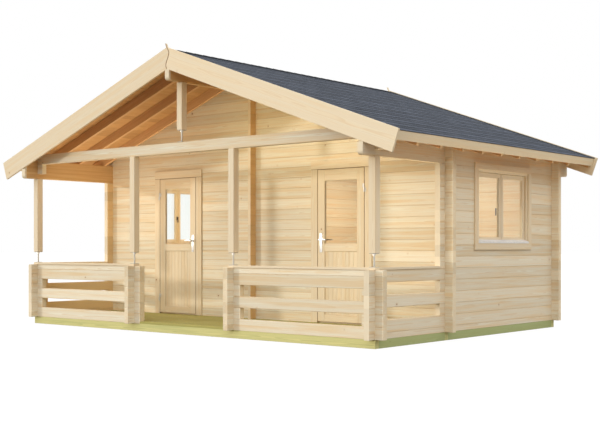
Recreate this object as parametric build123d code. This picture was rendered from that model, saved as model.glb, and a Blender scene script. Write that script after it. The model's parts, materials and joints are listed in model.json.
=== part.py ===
from build123d import *
import math
import os

# Log cabin with a covered veranda. Millimetres, +Z up, front towards -Y.
# X = 0 is the ridge line, Z = 0 the level ground, and Y = 0 the middle of the roof's length.

# Logs
log_thickness = 70.0
log_height = 135.0
log_end = 105.0
seam = 0.3
partition_thickness = 44.0

# Plan, measured between the outer faces of the log walls
cabin_width = 6000.0
house_length = 4100.0
veranda_depth = 1370.0
entry_half = 890.0

# Ground timbers and floors
bearer_height = 95.0
joist_width = 60.0
joist_spacing = 590.0
floor_board = 28.0

# Heights counted in log courses
rail_courses = 5
plate_course = 14
lintel_course = 15
beam_course = 16
ridge_course = 22

# Roof
roof_pitch = 19.85
barge_foot_height = 3272.0
barge_width = 250.0
barge_thickness = 28.0
barge_length = 3583.0
front_overhang = 217.0
rear_overhang = 395.0
rafter_width = 45.0
rafter_depth = 120.0
rafter_drop = 162.0
roof_board = 20.0
roofing_thickness = 8.0
ridge_cap_width = 130.0
ridge_cap_thickness = 4.0
eave_board_width = 103.0
eave_setback = 35.0
eave_board_thickness = 28.0
roofing_lip = 5.0
veranda_rafters = 4
room_rafters = 6
rafter_wall_gap = 200.0
beam_end_radius = 40.0
joint_swing = (34.0, -16.0)
joint_levels = (0.74, 0.22)
horn_height = 50.0
horn_lean = 21.0
horn_width = 16.0

# Posts and their screw jacks
post_size = 90.0
jack_height = 152.0
jack_plate_size = 80.0
jack_plate_thickness = 6.0
jack_rod_radius = 12.0
jack_rod_sides = 12
jack_nut_width = 36.0
jack_nut_height = 18.0

# Handrail
cap_width = 90.0
cap_thickness = 28.0

# Frames, casings and their gaps
frame_gap = 5.0
frame_thickness = 45.0
casing_overlap = 58.0
casing_thickness = 20.0
leaf_gap = 5.0

# Doors
door_centre = 1480.0
leaf_width = 736.0
leaf_thickness = 45.0
stop_depth = 12.0
threshold_height = 12.0
stile_width = 110.0
top_rail = 140.0
middle_rail = 92.0
bottom_rail = 85.0
panel_height = 805.0
glass_thickness = 16.0
panel_thickness = 24.0
groove_depth = 12.0
hinge_heights = (356.0, 1815.0)
knuckle_radius = 8.0
knuckle_sides = 12
knuckle_length = 50.0
flap_width = 30.0
flap_thickness = 2.0
lever_height = 1176.0
lever_length = 115.0
lever_height_section = 18.0
lever_depth = 10.0
lever_reach = 48.0
spindle_radius = 7.0
spindle_clearance = 0.5
handle_plate_width = 42.0
handle_plate_height = 240.0
handle_plate_drop = 40.0
handle_plate_thickness = 4.0

# Windows
window_centre = 2725.0
window_width = 1298.0
window_first_course = 7
window_casing_width = 80.0
window_foot_rail = 35.0
sash_stile = 50.0
sash_thickness = 50.0
sash_gap = 4.0
sash_recess = 25.0
window_sill_height = 46.0
window_sill_fall = 22.0
window_sill_nose = 24.0
window_handle_length = 95.0
window_handle_width = 18.0
window_handle_depth = 30.0

# How far a cutting shape runs past what it cuts
over = 1.0

# Sizes that follow from those above
pitch = math.radians(roof_pitch)
front_edge = -(house_length + rear_overhang - front_overhang) / 2
half_width = cabin_width / 2
side_x = half_width - log_thickness / 2
half_log = log_thickness / 2
half_partition = partition_thickness / 2
quarter = log_height / 4
rail_y = front_edge + half_log
front_wall = front_edge + veranda_depth
front_wall_y = front_wall + half_log
back_face = front_edge + house_length
back_wall_y = back_face - half_log
wall_ends_front = front_wall - log_end
wall_ends_back = back_face + log_end
barge_front = front_edge - front_overhang
barge_back = back_face + rear_overhang
roof_front = barge_front + barge_thickness + seam
roof_back = barge_back - barge_thickness - seam
floor_top = bearer_height + floor_board
rail_top = bearer_height + (rail_courses + 0.5) * log_height
cap_top = rail_top + cap_thickness
rafter_top = barge_width - rafter_drop + rafter_depth
rafter_foot = barge_width - rafter_drop
boards_top = rafter_top + roof_board
roofing_top = boards_top + roofing_thickness
eave_line = barge_length - eave_setback
frame_inner = leaf_width / 2 + leaf_gap
door_opening = frame_inner + frame_thickness + frame_gap
leaf_bottom = floor_top + threshold_height + leaf_gap
leaf_front = front_wall - casing_thickness
leaf_back = leaf_front + leaf_thickness


def x_course(k):
    # underside of course k in the walls that run along X
    return bearer_height + k * log_height


def y_course(k):
    # walls along Y start with half a log, so their courses lie half a log higher
    return bearer_height + (k + 0.5) * log_height


door_head = x_course(lintel_course)
leaf_top = door_head - frame_gap - frame_thickness - leaf_gap
window_foot = y_course(window_first_course)
window_head = y_course(plate_course)


def slope_height(x, n):
    # height of the line that lies n above the lower edge of the bargeboards
    return barge_foot_height + n / math.cos(pitch) - abs(x) * math.tan(pitch)


def slope_point(side, s, n):
    # a point s down the slope from the ridge and n square above the bargeboard's lower edge
    x = side * (s * math.cos(pitch) + n * math.sin(pitch))
    return (x, barge_foot_height - s * math.sin(pitch) + n * math.cos(pitch))


def block(x0, x1, y0, y1, z0, z1):
    centre = Pos((x0 + x1) / 2, (y0 + y1) / 2, (z0 + z1) / 2)
    return centre * Box(x1 - x0, y1 - y0, z1 - z0)


def profile_xz(points, y0, y1):
    # a prism along Y from an outline given in X and Z
    face = Plane.XZ * make_face(Polyline(*points, close=True))
    return Pos(0, y1, 0) * extrude(face, y1 - y0)


def slope_piece(side, n0, n1, s_end, y0, y1, x_start=seam / 2):
    # a board, rafter or skin that lies along one roof slope and meets its twin at the ridge
    points = [
        (side * x_start, slope_height(x_start, n0)),
        (side * x_start, slope_height(x_start, n1)),
        slope_point(side, s_end, n1),
        slope_point(side, s_end, n0),
    ]
    return profile_xz(points, y0, y1)


def under_slope(n, y0, y1):
    # everything below the line n, used to cut logs to the roof's pitch
    reach = barge_length
    points = [
        (-reach, 0),
        (reach, 0),
        (reach, slope_height(reach, n)),
        (0, slope_height(0, n)),
        (-reach, slope_height(reach, n)),
    ]
    return profile_xz(points, y0, y1)


def centre_half(j):
    # half the thickness of what lies in course j along the ridge line: partition, then ridge beam
    return half_partition if j < ridge_course else half_log


def log_x(x0, x1, y, k, crossings, height=log_height, upper=True):
    # a log along X; at each crossing a quarter log is notched out below, and above for the next log
    z0 = x_course(k)
    z1 = z0 + height - seam
    log = block(x0, x1, y - half_log, y + half_log, z0, z1)
    for x in [c for c in crossings if x0 < c < x1]:
        below = seam + (centre_half(k - 1) if x == 0 else half_log)
        log -= block(x - below, x + below, y - log_thickness, y + log_thickness, z0 - over, z0 + quarter)
        if upper:
            above = seam + (centre_half(k) if x == 0 else half_log)
            z_cut = z0 + 3 * quarter - seam
            log -= block(x - above, x + above, y - log_thickness, y + log_thickness, z_cut, z1 + over)
    return log


def log_y(y0, y1, x, k, crossings, half=half_log):
    # a log along Y, notched in the same way
    z0 = y_course(k)
    z1 = z0 + log_height - seam
    wide = half_log + seam
    log = block(x - half, x + half, y0, y1, z0, z1)
    for y in [c for c in crossings if y0 < c < y1]:
        log -= block(x - log_thickness, x + log_thickness, y - wide, y + wide, z0 - over, z0 + quarter)
        z_cut = z0 + 3 * quarter - seam
        log -= block(x - log_thickness, x + log_thickness, y - wide, y + wide, z_cut, z1 + over)
    return log


def bottom_log_y(y0, y1, x, crossings, half=half_log):
    # the half log on the bearer, with only an upper notch
    z0 = bearer_height
    z1 = z0 + log_height / 2 - seam
    wide = half_log + seam
    log = block(x - half, x + half, y0, y1, z0, z1)
    for y in [c for c in crossings if y0 < c < y1]:
        z_cut = z0 + quarter - seam
        log -= block(x - log_thickness, x + log_thickness, y - wide, y + wide, z_cut, z1 + over)
    return log


cross_x = [-side_x, 0, side_x]
cross_y = [front_wall_y, back_wall_y]
outer_end = half_width + log_end


def foundation_bearers():
    parts = []
    for y in (rail_y, front_wall_y, back_wall_y):
        parts.append(block(-half_width, half_width, y - half_log, y + half_log, 0, bearer_height))
    bays = ((rail_y, front_wall_y), (front_wall_y, back_wall_y))
    joists = int((side_x - half_log) // joist_spacing)
    for start, end in bays:
        y0 = start + half_log + seam
        y1 = end - half_log - seam
        for x in (-side_x, 0, side_x):
            parts.append(block(x - half_log, x + half_log, y0, y1, 0, bearer_height))
        for i in range(1, joists + 1):
            for side in (-1, 1):
                x = side * i * side_x / (joists + 1)
                parts.append(block(x - joist_width / 2, x + joist_width / 2, y0, y1, 0, bearer_height))
    return parts


def veranda_floor():
    inner = half_width - log_thickness - seam
    back = front_wall - seam
    deck = block(-inner, inner, front_edge + log_thickness + seam, back, bearer_height, floor_top)
    step_half = entry_half - half_log - log_end - seam
    deck += block(-step_half, step_half, front_edge, front_edge + log_thickness + over, bearer_height, floor_top)
    for side in (-1, 1):
        x = side * entry_half
        deck -= log_clearance_box(x, front_edge + log_thickness + log_end)
    wide = half_partition + seam
    deck -= block(-wide, wide, wall_ends_front - seam, back + over, 0, floor_top + over)
    return [deck]


def log_clearance_box(x, y_end):
    wide = half_log + seam
    return block(x - wide, x + wide, front_edge - log_end, y_end + seam, 0, floor_top + over)


def cabin_floor():
    floors = []
    for side in (-1, 1):
        inner = sorted((side * (half_partition + seam), side * (half_width - log_thickness - seam)))
        y0 = front_wall + log_thickness + seam
        y1 = back_face - log_thickness - seam
        floor = block(*inner, y0, y1, bearer_height, floor_top)
        doorway = sorted((side * (door_centre - door_opening + seam), side * (door_centre + door_opening - seam)))
        floor += block(*doorway, front_wall, y0 + over, bearer_height, floor_top)
        floors.append(floor)
    return floors


def front_wall_segment(x0, x1):
    return [log_x(x0, x1, front_wall_y, k, cross_x) for k in range(lintel_course)]


def gable_logs(y):
    # full logs over the openings, then logs whose ends follow the roof, up to the ridge
    roof_line = under_slope(rafter_top - seam, y - half_log - over, y + half_log + over)
    peak = slope_height(0, rafter_top)
    last = int((peak - bearer_height) // log_height) - 1
    logs = []
    for k in range(lintel_course, last + 1):
        height = log_height if k < last else peak - x_course(k)
        crossings = cross_x if k <= beam_course else [0]
        log = log_x(-outer_end, outer_end, y, k, crossings, height)
        if k >= beam_course:
            log = log & roof_line
        logs.append(log)
    return logs


def back_wall():
    logs = [log_x(-outer_end, outer_end, back_wall_y, k, cross_x) for k in range(lintel_course)]
    return logs + gable_logs(back_wall_y)


def side_wall(side):
    x = side * side_x
    start = front_edge - log_end
    crossings = [rail_y] + cross_y
    window = (window_centre - window_width / 2 + front_edge, window_centre + window_width / 2 + front_edge)
    logs = [bottom_log_y(start, wall_ends_back, x, crossings)]
    for k in range(plate_course):
        long_rail = k < rail_courses and k % 2 == 0
        if k < rail_courses and not long_rail:
            logs.append(log_y(start, rail_y + half_log + log_end, x, k, crossings))
        y0 = start if long_rail else wall_ends_front
        if k < window_first_course:
            logs.append(log_y(y0, wall_ends_back, x, k, crossings))
        else:
            logs.append(log_y(y0, window[0], x, k, crossings))
            logs.append(log_y(window[1], wall_ends_back, x, k, crossings))
    return logs


def partition_wall():
    y0 = wall_ends_front
    logs = [bottom_log_y(y0, wall_ends_back, 0, cross_y, half_partition)]
    logs += [log_y(y0, wall_ends_back, 0, k, cross_y, half_partition) for k in range(ridge_course)]
    return logs


def rounded_end(beam, x, y_end, direction, z0):
    # takes the lower corner off a beam's end, as a quarter round
    r = beam_end_radius
    reach = half_log + over
    inner = y_end - direction * r
    y_low, y_high = sorted((inner, y_end + direction * over))
    corner = block(x - reach, x + reach, y_low, y_high, z0 - over, z0 + r)
    bar = Pos(x, inner, z0 + r) * Rot(0, 90, 0) * Cylinder(r, 2 * reach + over)
    return beam - (corner - bar)


def carrying_logs(x, k):
    # two logs under the rafters; the lower runs on below the bargeboards to their outer faces
    z0 = y_course(k)
    lower = log_y(barge_front, barge_back, x, k, cross_y)
    for y0, y1 in ((barge_front - over, roof_front), (roof_back, barge_back + over)):
        under_barge = block(x - log_thickness, x + log_thickness, y0, y1, z0 - over, z0 + 2 * log_height)
        lower -= under_barge - under_slope(-seam, y0, y1)
    lower = rounded_end(lower, x, barge_front, -1, z0)
    lower = rounded_end(lower, x, barge_back, 1, z0)
    upper = log_y(roof_front, roof_back, x, k + 1, cross_y)
    return lower, upper & under_slope(rafter_foot - seam, roof_front - over, roof_back + over)


def wall_plates():
    # the plates also take the tie beam above them and the short log that lies between the two
    parts = []
    y0 = rail_y - half_log - seam
    y1 = rail_y + half_log + seam
    for side in (-1, 1):
        x = side * side_x
        lower, upper = carrying_logs(x, plate_course)
        z_lower = y_course(plate_course)
        z_upper = y_course(plate_course + 1)
        lower -= block(x - log_thickness, x + log_thickness, y0, y1, z_lower + 3 * quarter - seam, z_upper)
        upper -= block(x - log_thickness, x + log_thickness, y0, y1, z_upper - over, z_upper + quarter)
        upper -= block(x - log_thickness, x + log_thickness, y0, y1,
                       z_upper + 3 * quarter - seam, z_upper + log_height)
        parts += [lower, upper]
    return parts


def ridge_beam():
    return list(carrying_logs(0, ridge_course))


def tie_beam():
    roof_line = under_slope(rafter_top - seam, rail_y - half_log - over, rail_y + half_log + over)
    parts = [log_x(-outer_end, outer_end, rail_y, beam_course, [-side_x, side_x]) & roof_line]
    for side in (-1, 1):
        reach = half_log + log_end
        x = side * side_x
        parts.append(log_x(x - reach, x + reach, rail_y, lintel_course, [x]))
    return parts


def front_railing(side):
    # three rails, the short blocks between them, and the short logs that cross them at the entry
    near = side * (entry_half - half_log - log_end)
    far = side * outer_end
    x_entry = side * entry_half
    crossings = [side * side_x, x_entry]
    x0, x1 = sorted((near, far))
    logs = []
    for k in range(rail_courses):
        if k % 2 == 0:
            logs.append(log_x(x0, x1, rail_y, k, crossings))
            continue
        for x in crossings:
            reach = half_log + log_end
            logs.append(log_x(x - reach, x + reach, rail_y, k, [x]))
    logs.append(log_x(x0, x1, rail_y, rail_courses, crossings, log_height / 2, False))
    y0 = front_edge - log_end
    y1 = front_edge + log_thickness + log_end
    logs.append(bottom_log_y(y0, y1, x_entry, [rail_y]))
    logs += [log_y(y0, y1, x_entry, k, [rail_y]) for k in range(rail_courses)]
    return logs


def handrails():
    caps = []
    half_cap = cap_width / 2
    for side in (-1, 1):
        x0, x1 = sorted((side * (entry_half - post_size / 2 - seam), side * (side_x + half_cap)))
        y_cap = rail_y - half_cap
        caps.append(block(x0, x1, y_cap, y_cap + cap_width, rail_top, cap_top))
        x0, x1 = sorted((side * (side_x - half_cap), side * (side_x + half_cap)))
        caps.append(block(x0, x1, rail_y + half_cap + seam, front_wall - log_end - seam, rail_top, cap_top))
    return caps


def post_places():
    return [(-side_x, y_course(plate_course)), (-entry_half, x_course(beam_course)),
            (entry_half, x_course(beam_course)), (side_x, y_course(plate_course))]


def square_post(x, z0, z1):
    half = post_size / 2
    return block(x - half, x + half, rail_y - half, rail_y + half, z0, z1)


def veranda_posts():
    return [square_post(x, cap_top + jack_height, top - seam) for x, top in post_places()]


def king_post():
    return [square_post(0, x_course(beam_course + 1) + jack_height, y_course(ridge_course) - seam)]


def screw_jack(x, z0):
    # foot plate, threaded rod with its nut, and head plate, that let a post follow the settling logs
    half = jack_plate_size / 2
    top = z0 + jack_height
    jack = block(x - half, x + half, rail_y - half, rail_y + half, z0, z0 + jack_plate_thickness)
    jack += block(x - half, x + half, rail_y - half, rail_y + half, top - jack_plate_thickness, top)
    rod = RegularPolygon(jack_rod_radius, jack_rod_sides)
    jack += extrude(Plane(origin=(x, rail_y, z0)) * rod, jack_height)
    nut_base = Plane(origin=(x, rail_y, top - jack_plate_thickness - jack_nut_height))
    nut = RegularPolygon(jack_nut_width / 2, 6, major_radius=False)
    jack += extrude(nut_base * nut, jack_nut_height)
    return jack


def post_jacks():
    jacks = [screw_jack(x, cap_top) for x, top in post_places()]
    jacks.append(screw_jack(0, x_course(beam_course + 1)))
    return jacks


def rafter_places():
    # evenly over the veranda, evenly over the rooms, and one behind each pair of bargeboards
    first = roof_front + rafter_width / 2
    last_out = front_wall - rafter_wall_gap + rafter_width
    step = (last_out - first) / (veranda_rafters - 1)
    places = [first + i * step for i in range(veranda_rafters)]
    start = front_wall + log_thickness + rafter_wall_gap
    step = (back_face - log_thickness - rafter_wall_gap - start) / (room_rafters - 1)
    places += [start + i * step for i in range(room_rafters)]
    places.append(roof_back - rafter_width / 2)
    return places


def rafters():
    end = eave_line - eave_board_thickness - seam
    parts = []
    for y in rafter_places():
        for side in (-1, 1):
            y0 = y - rafter_width / 2
            parts.append(slope_piece(side, rafter_foot, rafter_top - seam, end, y0, y0 + rafter_width))
    return parts


def roof_boards():
    end = eave_line - eave_board_thickness - seam
    return [slope_piece(side, rafter_top, boards_top, end, roof_front, roof_back) for side in (-1, 1)]


def roofing():
    end = eave_line + roofing_lip
    return [slope_piece(side, boards_top + seam, roofing_top, end, roof_front, roof_back) for side in (-1, 1)]


def ridge_cap():
    n0 = roofing_top + seam
    n1 = n0 + ridge_cap_thickness
    left = slope_piece(-1, n0, n1, ridge_cap_width, roof_front, roof_back, 0)
    return [left + slope_piece(1, n0, n1, ridge_cap_width, roof_front, roof_back, 0)]


def ridge_joint(y0, y1, shift):
    # all that lies right of the S-shaped joint between two bargeboards, whose top leans left
    foot = slope_height(0, 0)
    top = slope_height(0, barge_width)
    rise = top - foot
    points = [
        (shift, foot - over),
        (shift + joint_swing[1], foot + rise * joint_levels[1]),
        (shift + joint_swing[0], foot + rise * joint_levels[0]),
        (shift, top),
        (shift - horn_lean, top + horn_height),
    ]
    curve = Spline(*points)
    right = barge_length
    sides = Polyline(points[-1], (right, points[-1][1]), (right, 0), (points[0][0], 0), points[0])
    face = Plane.XZ * make_face(curve + sides)
    return Pos(0, y1, 0) * extrude(face, y1 - y0)


def bargeboards(y0):
    # the left board's tip stands up as a thin curved horn along the joint
    y1 = y0 + barge_thickness
    boards = slope_piece(-1, 0, barge_width, barge_length, y0, y1, 0)
    boards += slope_piece(1, 0, barge_width, barge_length, y0, y1, 0)
    top = slope_height(0, barge_width)
    tip = block(-2 * horn_lean, joint_swing[0], y0, y1, top - 2 * horn_width, top + horn_height - over)
    right_of_joint = ridge_joint(y0 - over, y1 + over, 0)
    tip -= right_of_joint
    tip &= ridge_joint(y0 - over, y1 + over, -horn_width)
    left = boards - right_of_joint + tip
    right = boards & ridge_joint(y0 - over, y1 + over, seam)
    return [left, right]


def eave_boards():
    parts = []
    for side in (-1, 1):
        s0 = eave_line - eave_board_thickness
        n0 = boards_top - eave_board_width
        points = [
            slope_point(side, s0, n0),
            slope_point(side, s0, boards_top),
            slope_point(side, eave_line, boards_top),
            slope_point(side, eave_line, n0),
        ]
        parts.append(profile_xz(points, roof_front, roof_back))
    return parts


def door_frame(x):
    # two jambs and a head with the step that the leaf closes against, and the threshold between them
    y0 = front_wall
    y1 = front_wall + log_thickness
    stop_y = leaf_back + leaf_gap
    head_foot = leaf_top + leaf_gap
    parts = []
    for side in (-1, 1):
        inner = x + side * frame_inner
        outer = inner + side * frame_thickness
        jamb = block(*sorted((inner, outer)), y0, y1, floor_top, head_foot - seam)
        step = inner - side * stop_depth
        jamb += block(*sorted((step, outer)), stop_y, y1, floor_top, head_foot - seam)
        parts.append(jamb)
    reach = frame_inner + frame_thickness
    head = block(x - reach, x + reach, y0, y1, head_foot, head_foot + frame_thickness)
    step_reach = frame_inner - stop_depth - seam
    head += block(x - step_reach, x + step_reach, stop_y, y1, head_foot - stop_depth, head_foot + over)
    parts.append(head)
    sill_reach = frame_inner - stop_depth - seam
    parts.append(block(x - sill_reach, x + sill_reach, y0, y1, floor_top, floor_top + threshold_height))
    return parts


def casing(centre, half, foot, head, face, direction, along_x, width):
    # flat boards round an opening, on one face of the wall; a window has one below as well
    y0, y1 = sorted((face, face + direction * casing_thickness))
    outer = half + casing_overlap
    inner = outer - width
    top = head + casing_overlap
    boards = [(centre - outer, centre + outer, top - width, top)]
    side_foot = foot
    if not along_x:
        bottom = foot - casing_overlap
        boards.append((centre - outer, centre + outer, bottom, bottom + width))
        side_foot = bottom + width + seam
    for side in (-1, 1):
        u0, u1 = sorted((centre + side * inner, centre + side * outer))
        boards.append((u0, u1, side_foot, top - width - seam))
    parts = []
    for u0, u1, z0, z1 in boards:
        if along_x:
            parts.append(block(u0, u1, y0, y1, z0, z1))
        else:
            parts.append(block(y0, y1, u0, u1, z0, z1))
    return parts


def door_casing(x):
    width = frame_thickness + frame_gap + casing_overlap
    outside = casing(x, door_opening, floor_top, door_head, front_wall, -1, True, width)
    inside = casing(x, door_opening, floor_top, door_head, front_wall + log_thickness, 1, True, width)
    return outside + inside


def leaf_openings(x):
    half = leaf_width / 2 - stile_width
    panel_foot = leaf_bottom + bottom_rail
    glass_foot = panel_foot + panel_height + middle_rail
    return half, panel_foot, glass_foot


def pane(x, half, z0, z1, thickness):
    # a sheet held on all sides in the leaf's groove
    middle = (leaf_front + leaf_back) / 2
    grow = groove_depth - seam
    return block(x - half - grow, x + half + grow, middle - thickness / 2, middle + thickness / 2,
                 z0 - grow, z1 + grow)


def door_leaf(x, inner_side):
    half, panel_foot, glass_foot = leaf_openings(x)
    middle = (leaf_front + leaf_back) / 2
    leaf = block(x - leaf_width / 2, x + leaf_width / 2, leaf_front, leaf_back, leaf_bottom, leaf_top)
    panel_head = panel_foot + panel_height
    glass_head = leaf_top - top_rail
    sheets = ((panel_foot, panel_head, panel_thickness), (glass_foot, glass_head, glass_thickness))
    for z0, z1, thickness in sheets:
        leaf -= block(x - half, x + half, leaf_front - over, leaf_back + over, z0, z1)
        grow = groove_depth
        y0 = middle - thickness / 2 - seam
        y1 = middle + thickness / 2 + seam
        leaf -= block(x - half - grow, x + half + grow, y0, y1, z0 - grow, z1 + grow)
    hole = Pos(handle_x(x, inner_side), middle, lever_height) * Rot(90, 0, 0)
    leaf -= hole * Cylinder(spindle_radius + spindle_clearance, leaf_thickness + over)
    return [leaf]


def door_panel(x):
    half, panel_foot, glass_foot = leaf_openings(x)
    return [pane(x, half, panel_foot, panel_foot + panel_height, panel_thickness)]


def door_glass(x):
    half, panel_foot, glass_foot = leaf_openings(x)
    return [pane(x, half, glass_foot, leaf_top - top_rail, glass_thickness)]


def handle_x(x, inner_side):
    return x + inner_side * (leaf_width / 2 - stile_width / 2)


def handle_plates(x, inner_side):
    # a plate on each face of the leaf, with the hole that the spindle turns in
    centre = handle_x(x, inner_side)
    half = handle_plate_width / 2
    z0 = lever_height - handle_plate_drop - handle_plate_height / 2
    parts = []
    for y0 in (leaf_front - handle_plate_thickness, leaf_back):
        plate = block(centre - half, centre + half, y0, y0 + handle_plate_thickness, z0, z0 + handle_plate_height)
        bore = Pos(centre, y0 + handle_plate_thickness / 2, lever_height) * Rot(90, 0, 0)
        plate -= bore * Cylinder(spindle_radius + spindle_clearance, handle_plate_thickness + over)
        parts.append(plate)
    return parts


def door_lever(x, inner_side):
    # both levers on one spindle, each pointing towards the hinges
    centre = handle_x(x, inner_side)
    y_out = leaf_front - handle_plate_thickness - lever_reach
    y_in = leaf_back + handle_plate_thickness + lever_reach
    spindle = Pos(centre, (y_out + y_in) / 2, lever_height) * Rot(90, 0, 0)
    lever = spindle * Cylinder(spindle_radius, y_in - y_out)
    end = lever_height_section / 2
    for y in (y_out, y_in):
        u0, u1 = sorted((centre + inner_side * end, centre - inner_side * lever_length))
        lever += block(u0, u1, y - lever_depth / 2, y + lever_depth / 2, lever_height - end, lever_height + end)
    return [lever]


def hinge_axis(x, inner_side):
    return (x - inner_side * (leaf_width / 2 + leaf_gap / 2), leaf_front - knuckle_radius - seam)


def knuckle(x, y, z):
    return extrude(Plane(origin=(x, y, z)) * RegularPolygon(knuckle_radius, knuckle_sides), knuckle_length)


def door_hinges(x, inner_side):
    # the upper knuckle and its flap, which turn with the leaf
    hx, hy = hinge_axis(x, inner_side)
    parts = []
    for z in hinge_heights:
        part = knuckle(hx, hy, z + seam)
        u0, u1 = sorted((hx, hx + inner_side * flap_width))
        part += block(u0, u1, leaf_front - flap_thickness - seam, leaf_front - seam,
                      z + seam, z + seam + knuckle_length)
        parts.append(part)
    return parts


def frame_hinges():
    # the lower knuckles, each with its flap on the door's casing
    parts = []
    for inner_side in (-1, 1):
        x = -inner_side * door_centre
        hx, hy = hinge_axis(x, inner_side)
        for z in hinge_heights:
            part = knuckle(hx, hy, z - knuckle_length)
            u0, u1 = sorted((hx, hx - inner_side * flap_width))
            part += block(u0, u1, leaf_front - flap_thickness - seam, leaf_front - seam, z - knuckle_length, z)
            parts.append(part)
    return parts


def window_span():
    return front_edge + window_centre, window_width / 2


def window_frame(side):
    centre, half = window_span()
    x0, x1 = sorted((side * half_width, side * (half_width - log_thickness)))
    outer = half - frame_gap
    inner = outer - frame_thickness
    foot = window_foot + frame_gap
    head = window_head - frame_gap
    parts = []
    for z0, z1 in ((foot, foot + window_foot_rail), (head - frame_thickness, head)):
        parts.append(block(x0, x1, centre - outer, centre + outer, z0, z1))
    for way in (-1, 1):
        y0, y1 = sorted((centre + way * inner, centre + way * outer))
        parts.append(block(x0, x1, y0, y1, foot + window_foot_rail + seam, head - frame_thickness - seam))
    return parts


def window_casing(side):
    centre, half = window_span()
    face = side * half_width
    outside = casing(centre, half, window_foot, window_head, face, side, False, window_casing_width)
    face = side * (half_width - log_thickness)
    inside = casing(centre, half, window_foot, window_head, face, -side, False, window_casing_width)
    return outside + inside


def sash_edges(way):
    # the two sashes meet with a gap in the middle of the window
    centre, half = window_span()
    inner = half - frame_gap - frame_thickness
    y0, y1 = sorted((centre + way * sash_gap / 2, centre + way * (inner - sash_gap)))
    z0 = window_foot + frame_gap + window_foot_rail + sash_gap
    z1 = window_head - frame_gap - frame_thickness - sash_gap
    return y0, y1, z0, z1


def sash_middle(side):
    return side * (half_width - sash_recess - sash_thickness / 2)


def window_sashes(side):
    x = sash_middle(side)
    reach = sash_thickness / 2
    parts = []
    for way in (-1, 1):
        y0, y1, z0, z1 = sash_edges(way)
        sash = block(x - reach, x + reach, y0, y1, z0, z1)
        inner = (y0 + sash_stile, y1 - sash_stile, z0 + sash_stile, z1 - sash_stile)
        sash -= block(x - reach - over, x + reach + over, *inner)
        d = groove_depth
        t = glass_thickness / 2 + seam
        sash -= block(x - t, x + t, inner[0] - d, inner[1] + d, inner[2] - d, inner[3] + d)
        parts.append(sash)
    return parts


def window_glass(side):
    x = sash_middle(side)
    t = glass_thickness / 2
    d = groove_depth - seam - sash_stile
    parts = []
    for way in (-1, 1):
        y0, y1, z0, z1 = sash_edges(way)
        parts.append(block(x - t, x + t, y0 - d, y1 + d, z0 - d, z1 + d))
    return parts


def window_sills():
    # the pale weather bar: it slopes out from the sashes and turns down before the frame's foot
    centre, half = window_span()
    reach = half + casing_overlap - window_casing_width - seam
    between_jambs = half - frame_gap - frame_thickness - seam
    foot = window_foot - casing_overlap + window_casing_width + seam
    ledge = window_foot + frame_gap + window_foot_rail + seam
    top = foot + window_sill_height
    parts = []
    for side in (-1, 1):
        sash_face = side * (half_width - sash_recess + seam)
        wall_face = side * (half_width + seam)
        nose = side * (half_width + window_sill_nose)
        outline = [
            (sash_face, ledge),
            (sash_face, top),
            (nose, top - window_sill_fall),
            (nose, foot),
            (wall_face, foot),
            (wall_face, ledge),
        ]
        bar = profile_xz(outline, centre - reach, centre + reach)
        for way in (-1, 1):
            y0, y1 = sorted((centre + way * between_jambs, centre + way * (reach + over)))
            x0, x1 = sorted((sash_face - side * over, wall_face))
            bar -= block(x0, x1, y0, y1, foot - over, top + over)
        parts.append(bar)
    return parts


def window_handles():
    # a turning handle inside, on the sash that closes last
    centre, half = window_span()
    sash_foot, sash_head = sash_edges(1)[2:]
    z = (sash_foot + sash_head) / 2
    parts = []
    for side in (-1, 1):
        inner = abs(sash_middle(side)) - sash_thickness / 2
        x0, x1 = sorted((side * inner, side * (inner - window_handle_depth)))
        y = centre - sash_gap / 2 - sash_stile / 2
        y0 = y - window_handle_width / 2
        parts.append(block(x0, x1, y0, y0 + window_handle_width, z - window_handle_length, z))
    return parts


nodes = {
    "foundation_bearers": foundation_bearers(),
    "veranda_floor": veranda_floor(),
    "cabin_floor": cabin_floor(),
    "front_wall_left": front_wall_segment(-outer_end, -door_centre - door_opening),
    "front_wall_centre": front_wall_segment(-door_centre + door_opening, door_centre - door_opening),
    "front_wall_right": front_wall_segment(door_centre + door_opening, outer_end),
    "front_gable": gable_logs(front_wall_y),
    "back_wall": back_wall(),
    "left_wall": side_wall(-1),
    "right_wall": side_wall(1),
    "partition_wall": partition_wall(),
    "wall_plates": wall_plates(),
    "ridge_beam": ridge_beam(),
    "tie_beam": tie_beam(),
    "veranda_posts": veranda_posts(),
    "king_post": king_post(),
    "post_jacks": post_jacks(),
    "railing_left": front_railing(-1),
    "railing_right": front_railing(1),
    "handrails": handrails(),
    "rafters": rafters(),
    "roof_boards": roof_boards(),
    "roofing": roofing(),
    "ridge_cap": ridge_cap(),
    "bargeboards_front": bargeboards(barge_front),
    "bargeboards_rear": bargeboards(barge_back - barge_thickness),
    "eave_boards": eave_boards(),
    "door_frame_hinges": frame_hinges(),
    "window_sills": window_sills(),
    "window_handles": window_handles(),
}

for name, side in (("left", -1), ("right", 1)):
    x = side * door_centre
    inner_side = -side
    nodes[f"door_{name}_frame"] = door_frame(x)
    nodes[f"door_{name}_casing"] = door_casing(x)
    nodes[f"door_{name}_leaf"] = door_leaf(x, inner_side)
    nodes[f"door_{name}_glass"] = door_glass(x)
    nodes[f"door_{name}_panel"] = door_panel(x)
    nodes[f"door_{name}_plates"] = handle_plates(x, inner_side)
    nodes[f"door_{name}_lever"] = door_lever(x, inner_side)
    nodes[f"door_{name}_hinges"] = door_hinges(x, inner_side)
    nodes[f"window_{name}_frame"] = window_frame(side)
    nodes[f"window_{name}_casing"] = window_casing(side)
    nodes[f"window_{name}_sashes"] = window_sashes(side)
    nodes[f"window_{name}_glass"] = window_glass(side)

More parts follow.
